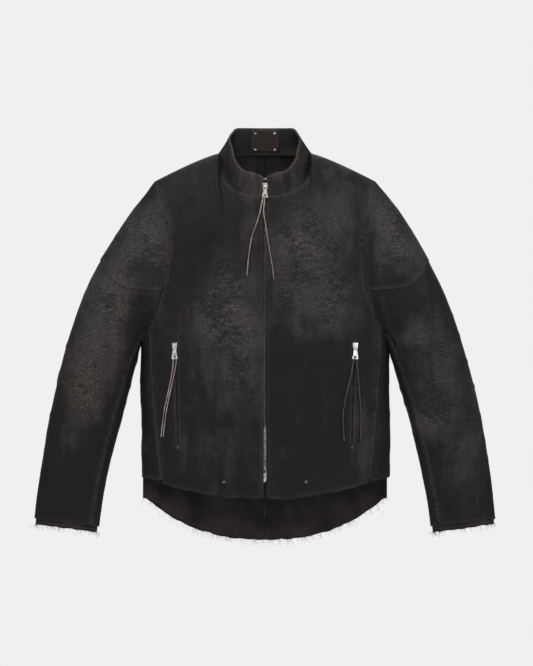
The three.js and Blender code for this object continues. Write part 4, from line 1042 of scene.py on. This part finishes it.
for hand in ("left", "right"):
    plain = handed(front_grid(lining_start, lining_edge), hand)
    cloth = draped(plain, ("top", "left", "right"))
    away = np.abs(cloth[..., 0]) - POCKET_TOP[0]
    reach = np.where(away < 0, *POCKET_ROOM_SPANS)
    room = (1 + np.cos(math.pi * np.minimum(1, np.abs(away) / reach))) / 2
    drop = front_top(np.abs(cloth[..., 0])) - cloth[..., 2]
    room = POCKET_ROOM * room * half_ellipse(1 - clamp01(drop / ROLL_HEIGHT))
    cloth = cloth - outward(cloth) * LINING_DEPTH
    cloth[..., 1] += room
    piece = shell(f"{hand}_front_lining_cloth", cloth, LINING, finishes=(lining_cloth,))
    swinging(piece)
    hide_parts(f"{hand}_front_lining", f"{hand}_side_lining")

    plain = handed(back_grid(lining_edge), hand)
    cloth = draped(plain, ("top", "left", "right"))
    cloth = cloth - outward(cloth) * (LINING_DEPTH - tail_folds(plain, ("left", "right")))[..., None]
    cloth[-1, :, 2] += 2.0 + 1.2 * waves(plain[-1] * (1, 1, 0), 26, 75, 3)
    grids[f"{hand}_back_lining"] = cloth
    piece = shell(f"{hand}_back_lining_cloth", cloth, LINING, finishes=(lining_cloth,))
    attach(piece, "torso")
    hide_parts(f"{hand}_back_lining")

    degrees = np.linspace(359.4, 0.6, 125)[None]
    down = np.linspace(0, 1 + CUFF_SHOW, 133)[:, None]
    plain = handed(sleeve_points(degrees, down), hand)
    cloth = creased(plain, (), 1)
    cloth = cloth - outward(cloth) * SLEEVE_LINING_DEPTH
    cloth[-1, :, 2] += 0.9 * waves(plain[-1], 24, 77, 3)
    grids[f"{hand}_sleeve_lining"] = cloth
    piece = shell(f"{hand}_sleeve_lining_cloth", cloth, LINING, finishes=(lining_cloth,))
    sleeve_fold(piece)
    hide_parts(f"{hand}_sleeve_lining")

# ---------------------------------------------------------------- zip hardware
# Bright nickel-plated sliders, pulls, stops, pin, box and patch rivets, tumbled smooth and finely
# scratched. The hem studs and the rivets below the pocket zips are blackened.

SOFTENED = {                         # width of the rounded edge, in mm
    "main_slider": 0.3, "main_pull": 0.35, "left_pocket_slider": 0.3, "right_pocket_slider": 0.3,
    "left_pocket_pull": 0.35, "right_pocket_pull": 0.35, "zip_pin": 0.25, "zip_box": 0.5,
    "left_zip_top_stop": 0.3, "right_zip_top_stop": 0.3, "left_hem_stud": 0.3, "right_hem_stud": 0.3}
DOMES = ["left_pocket_rivet", "right_pocket_rivet"] + [f"neck_patch_rivet_{i}" for i in range(1, 5)]
BLACKENED = ["left_hem_stud", "right_hem_stud", "left_pocket_rivet", "right_pocket_rivet"]

nickel, tree, shader = material("nickel", Metallic=1.0)
place_at = node(tree, "ShaderNodeTexCoord").outputs["Object"]
scratch = noise(tree, stretched(tree, place_at, (2600.0, 900.0, 260.0)), 1.0, 3.0)
tarnish = noise(tree, place_at, 160.0, 4.0)
tree.links.new(ramp(tree, tarnish, (0.38, (0.36, 0.35, 0.33)), (0.56, (0.84, 0.83, 0.81))),
               shader.inputs["Base Color"])
tree.links.new(node(tree, "ShaderNodeMapRange", ("Value", scratch), ("To Min", 0.16),
                    ("To Max", 0.38)).outputs["Result"], shader.inputs["Roughness"])
relief = node(tree, "ShaderNodeBump", ("Height", scratch), ("Strength", 0.12), ("Distance", 0.0002))
tree.links.new(relief.outputs["Normal"], shader.inputs["Normal"])
blackened, tree, shader = material("blackened_nickel", Metallic=1.0, Roughness=0.3)
rub_through = noise(tree, node(tree, "ShaderNodeTexCoord").outputs["Object"], 420.0, 3.0)
tree.links.new(ramp(tree, rub_through, (0.4, (0.05, 0.047, 0.045)), (0.75, (0.4, 0.38, 0.36))),
               shader.inputs["Base Color"])


def refinished(name, finish):
    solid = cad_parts[name]
    solid.data.materials.clear()
    solid.data.materials.append(finish)
    return solid


for name, width in SOFTENED.items():
    finish = blackened if name in BLACKENED else nickel
    soft = refinished(name, finish).modifiers.new("soft_edge", "BEVEL")
    soft.width, soft.segments, soft.limit_method = width * MM, 2, "ANGLE"
    soft.angle_limit = math.radians(30)
for name in DOMES:
    finish = blackened if name in BLACKENED else nickel
    soft = refinished(name, finish).modifiers.new("soft_edge", "SUBSURF")
    soft.levels = soft.render_levels = 2

# ---------------------------------------------------------------- zip teeth and tapes
# Metal teeth clamped one by one on the edges of woven tapes. The front zip's two rows mesh across
# the middle; a pocket zip's are finer and stand apart, so that its slider's neck runs between them.

MAIN_PITCH, POCKET_PITCH = 3.2, 2.6
# how far a tooth runs past the middle: a pocket slider's neck passes between its two rows
MAIN_REACH, POCKET_REACH = 0.62, -0.62
TOOTH_Y, TOOTH_BEVEL = (1.8, 3.8), 0.35
TOOTH_ROOT = 2.8
TEETH_Z, POCKET_CHAIN = (-635.5, -55.5), (-189, 7.5)


def tooth(side_x, height, reach):
    """Outline points of one tooth: a clamped root, a waist and a rounded head at the middle."""
    outline = [(0, -0.5), (0.41, -0.42), (0.67, -0.28), (0.88, -0.46), (1, -0.3),
               (1, 0.3), (0.88, 0.46), (0.67, 0.28), (0.41, 0.42), (0, 0.5)]
    return [(side_x * (TOOTH_ROOT - (TOOTH_ROOT + reach) * along), z * height) for along, z in outline]


def teeth(name, side_x, span, pitch, reach, frame_of, body, solid, mirrored=False):
    """A row of teeth; frame_of turns a point (across, inwards, up) in mm into the jacket's place."""
    points, faces = [], []
    shift = 0.0 if side_x > 0 else 0.5
    for i in range(int((span[1] - span[0]) / pitch) - 1):
        z = span[0] + (i + shift + 0.5) * pitch
        outline = tooth(side_x, pitch * 0.5, reach)
        ring, first = len(outline), len(points)
        for y, shrink in ((TOOTH_Y[0], 0.8), (TOOTH_Y[0] + TOOTH_BEVEL, 1), (TOOTH_Y[1], 1)):
            points += [frame_of(x, y, z + up * shrink) for x, up in outline]
        wind = side_x * (-1 if mirrored else 1)
        cap = [tuple(range(first, first + ring))[::-wind],
               tuple(range(first + 2 * ring, first + 3 * ring))[::wind]]
        walls = [(first + k * ring + j, first + k * ring + (j + 1) % ring,
                  first + (k + 1) * ring + (j + 1) % ring, first + (k + 1) * ring + j)[::wind]
                 for k in (0, 1) for j in range(ring)]
        faces += cap + walls
    made = mesh_of(name, np.array(points) * MM, faces)
    made.data.materials.append(nickel)
    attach(made, body)
    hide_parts(solid)


TAPE, TAPE_LIGHT = (0.008, 0.008, 0.008, 1), (0.024, 0.023, 0.022, 1)
tape_cloth = cloth_finish("tape_cloth", TAPE, TAPE_LIGHT, 420.0, rigid=True)
pocket_down = unit(np.array([POCKET_FOOT[0] - POCKET_TOP[0],
                             -chest_depth(POCKET_FOOT[0]) + chest_depth(POCKET_TOP[0]),
                             POCKET_FOOT[1] - POCKET_TOP[1]]))
middle_x = (POCKET_TOP[0] + POCKET_FOOT[0]) / 2
slope = HALF_DEPTH * middle_x / (HALF_CHEST ** 2 * half_ellipse(middle_x / HALF_CHEST))
inward = unit(np.array([-slope, 1, 0]))
across = unit(np.cross(inward, -pocket_down))
inward = np.cross(-pocket_down, across)
pocket_start = np.array([POCKET_TOP[0], -chest_depth(POCKET_TOP[0]), POCKET_TOP[1]])


def in_pocket(x, y, z):
    """A place by the left pocket's zip, from mm across, inwards and up from the zip's top."""
    return pocket_start + across * x + inward * y - pocket_down * z


for hand, side_x in (("left", 1), ("right", -1)):
    teeth(f"{hand}_teeth", side_x, TEETH_Z, MAIN_PITCH, MAIN_REACH,
          lambda x, y, z: (x, y - HALF_DEPTH, z), f"{hand}_front", f"{hand}_zip_teeth")
    for row in (-1, 1):
        teeth(f"{hand}_pocket_teeth_{'inner' if row < 0 else 'outer'}", row, POCKET_CHAIN, POCKET_PITCH,
              POCKET_REACH, lambda x, y, z: in_pocket(x, y, z) * (side_x, 1, 1), "torso",
              f"{hand}_pocket_zip_chain", side_x < 0)
    refinished(f"{hand}_zip_tape", tape_cloth)
    refinished(f"{hand}_pocket_tape", tape_cloth)

# ---------------------------------------------------------------- pocket bags
# A flat pouch of the lining cloth hangs behind each pocket zip, sewn shut along three sides.

BAG_X, BAG_Z, BAG_FACE, BAG_BACK = (-63.5, 11.5), (-214, 9), 7.6, 8.5
BAG_LIP = 3.4                        # the bag's outer edge comes this far forward to its tape

for hand in ("left", "right"):
    xs, zs = np.linspace(*BAG_X, 22), np.linspace(BAG_Z[1], BAG_Z[0], 52)
    flat = np.array([[in_pocket(x, BAG_FACE - BAG_LIP * float(smooth((x - 5) / 5)), z) for x in xs]
                     for z in zs])
    plain = handed(flat, hand)
    bag = plain + outward(plain) * (0.35 * waves(plain, 60, 81, 2))[..., None]
    bag = shell(f"{hand}_pocket_pouch", bag, BAG_BACK - BAG_FACE, finishes=(lining_cloth,))
    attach(bag, "torso")
    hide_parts(f"{hand}_pocket_bag")

# ---------------------------------------------------------------- stitching
# Thick waxed thread: two rows round each cap seam, one beside the zip, the other seams, the collar's
# edges and the patch's, and a pair down each pocket zip that closes in towards its rivet.

STITCH, STITCH_STEP, THREAD = 2.7, 3.9, 0.32
# a stitch's rings as shares of its length and thickness, and mm above the hide
STITCH_RINGS = ((-0.5, 0.5, -0.25), (-0.28, 1, 0.12), (0.28, 1, 0.12), (0.5, 0.5, -0.25))
THREAD_SECTION = ((-1, -0.6), (1, -0.6), (0.7, 0.7), (-0.7, 0.7))
thread, tree, shader = material("waxed_thread", Roughness=0.6)
twine = noise(tree, rest_of(tree), 1400.0, 2.0)
tree.links.new(ramp(tree, twine, (0.35, (0.012, 0.01, 0.0095)), (0.7, (0.06, 0.052, 0.048))),
               shader.inputs["Base Color"])


def inset(grid, side, distance, tail=(0.0, 1.0)):
    """Points and normals that run along one side of a grid at a distance in mm from it."""
    normals = outward(grid)
    if side in ("left", "right"):
        lines, facing = grid, normals
    else:
        lines, facing = grid.transpose(1, 0, 2), normals.transpose(1, 0, 2)
    if side in ("right", "bottom"):
        lines, facing = lines[:, ::-1], facing[:, ::-1]
    run = np.cumsum(np.linalg.norm(np.diff(lines, axis=1), axis=-1), axis=1)
    run = np.concatenate([np.zeros((len(lines), 1)), run], axis=1)
    first = np.clip((run < distance).sum(1) - 1, 0, lines.shape[1] - 2)
    rows = np.arange(len(lines))
    share = ((distance - run[rows, first]) / (run[rows, first + 1] - run[rows, first]))[:, None]
    at = [int(round(v * (len(lines) - 1))) for v in tail]
    points = lines[rows, first] * (1 - share) + lines[rows, first + 1] * share
    return points[at[0]:at[1] + 1], facing[rows, first][at[0]:at[1] + 1]


def sewn(name, rows, join=None):
    """One mesh of stitches along rows of (points, normals); join is left out on the torso."""
    points, faces = [], []
    for line, facing in rows:
        run = np.r_[0, np.cumsum(np.linalg.norm(np.diff(line, axis=0), axis=1))]
        spots = np.arange(STITCH, run[-1] - STITCH, STITCH_STEP)
        centre = np.stack([np.interp(spots, run, line[:, k]) for k in range(3)], 1)
        ahead = np.stack([np.interp(spots + 0.5, run, line[:, k]) for k in range(3)], 1)
        up = unit(np.stack([np.interp(spots, run, facing[:, k]) for k in range(3)], 1))
        along = unit(ahead - centre)
        beside = np.cross(up, along)
        for c, a, b, u in zip(centre, along, beside, up):
            first = len(points)
            for s, size, sink in STITCH_RINGS:
                for x, y in THREAD_SECTION:
                    points.append(c + a * s * STITCH + u * (sink + y * THREAD * size) + b * x * THREAD * size)
            faces += [tuple(first + k for k in (3, 2, 1, 0)), tuple(first + k for k in (12, 13, 14, 15))]
            faces += [(first + 4 * r + k, first + 4 * r + (k + 1) % 4, first + 4 * r + 4 + (k + 1) % 4,
                       first + 4 * r + 4 + k) for r in range(3) for k in range(4)]
    made = mesh_of(name, np.array(points) * MM, faces)
    made.data.shade_smooth()
    rest_points(made)
    made.data.materials.append(thread)
    if join:
        join(made)
    else:
        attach(made, "torso")


def pocket_rows(front, hand):
    """Two rows beside the pocket's lips that close in towards the rivet."""
    column = slot_column(hand)
    rows = []
    inside = (front[:, column, 2] < SLOT_Z[1] + 8) & (front[:, column, 2] > SLOT_Z[0] - 6)
    normals = outward(front)
    for way in (-1, 1):
        start = front[:, column if way < 0 else column + 1][inside]
        side_way = unit(front[:, column + 1] - front[:, column])[inside] * way
        close = np.linspace(6.2, 3.2, len(start))[:, None]
        rows.append((start + side_way * close, normals[:, column][inside]))
    return rows


for hand in ("left", "right"):
    near, far = ("left", "right") if hand == "left" else ("right", "left")
    front, swing = grids[f"{hand}_front"], lambda made: swinging(made)
    sewn(f"{hand}_front_stitching", [inset(front, near, 6.5), inset(front, far, 3.2, (0.02, 0.52)),
                                     *pocket_rows(front, hand)], swing)
    sewn(f"{hand}_collar_stitching", [inset(grids[f"{hand}_collar"], "top", 3.0),
                                      inset(grids[f"{hand}_collar"], "bottom", 2.6)], swing)
    sewn(f"{hand}_cap_stitching", [inset(grids[f"{hand}_cap"], "bottom", 2.2),
                                   inset(grids[f"{hand}_cap"], "bottom", 7.2)])
    sewn(f"{hand}_sleeve_stitching", [inset(grids[f"{hand}_top"], side, 2.6, (0.03, 1)) for side in
                                      ("left", "right")], lambda made: sleeve_fold(made))
    sewn(f"{hand}_back_stitching", [inset(grids[f"{hand}_back"], far, 3.4),
                                    inset(grids[f"{hand}_back"], near, 3.2, (0, 0.98))])
    sewn(f"{hand}_side_stitching", [inset(grids[f"{hand}_side"], side, 2.8) for side in ("left", "right")])
sewn("patch_stitching", [inset(patch, side, 1.8) for side in ("left", "right", "top", "bottom")])

# ---------------------------------------------------------------- frayed threads
# The lining's raw edges shed short curled threads along the tail and round both cuffs.

FRAY, FRAY_RINGS = 0.3, 6            # radius of a loose thread, and rings of three points along it
fray_thread = plain_finish("fray_thread", (0.006, 0.005, 0.005), (0.04, 0.034, 0.032), 300.0, 0.9)


def frays(name, edge, count, seed, longest, body):
    """Loose threads that hang from a line of points."""
    rng = np.random.default_rng(seed)
    points, faces = [], []
    for _ in range(count):
        at = rng.uniform(0, len(edge) - 1.001)
        i = int(at)
        root = edge[i] + (edge[i + 1] - edge[i]) * (at - i)
        length = longest * rng.uniform(0.25, 1.0) ** 2
        lean, curl = rng.normal(0, 0.6, 2), rng.normal(0, 0.5, 2)
        steps = np.linspace(0, 1, FRAY_RINGS)
        line = np.stack([root[0] + length * (lean[0] * steps + curl[0] * np.sin(steps * 2.6) ** 2),
                         root[1] + length * 0.3 * (lean[1] * steps + curl[1] * steps ** 2),
                         root[2] + 1.2 - (length + 1.2) * steps], 1)
        first = len(points)
        for k, p in enumerate(line):
            thin = FRAY * (1 - 0.5 * steps[k])
            points += [p + (thin, 0, 0), p + (-0.5 * thin, 0.87 * thin, 0),
                       p + (-0.5 * thin, -0.87 * thin, 0)]
        last = len(points) - 1
        faces += [(first, first + 1, first + 2), (last, last - 1, last - 2)]
        faces += [(first + 3 * k + j, first + 3 * k + 3 + j, first + 3 * k + 3 + (j + 1) % 3,
                   first + 3 * k + (j + 1) % 3) for k in range(FRAY_RINGS - 1) for j in range(3)]
    made = mesh_of(name, np.array(points) * MM, faces)
    made.data.shade_smooth()
    rest_points(made)
    made.data.materials.append(fray_thread)
    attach(made, body)


for number, hand in enumerate(("left", "right")):
    tail = grids[f"{hand}_back_lining"][-1]
    frays(f"{hand}_tail_frays", tail, 210, 91 + number, 17.0, "torso")
    frays(f"{hand}_cuff_frays", grids[f"{hand}_sleeve_lining"][-1], 130, 95 + number, 12.0, f"{hand}_sleeve")
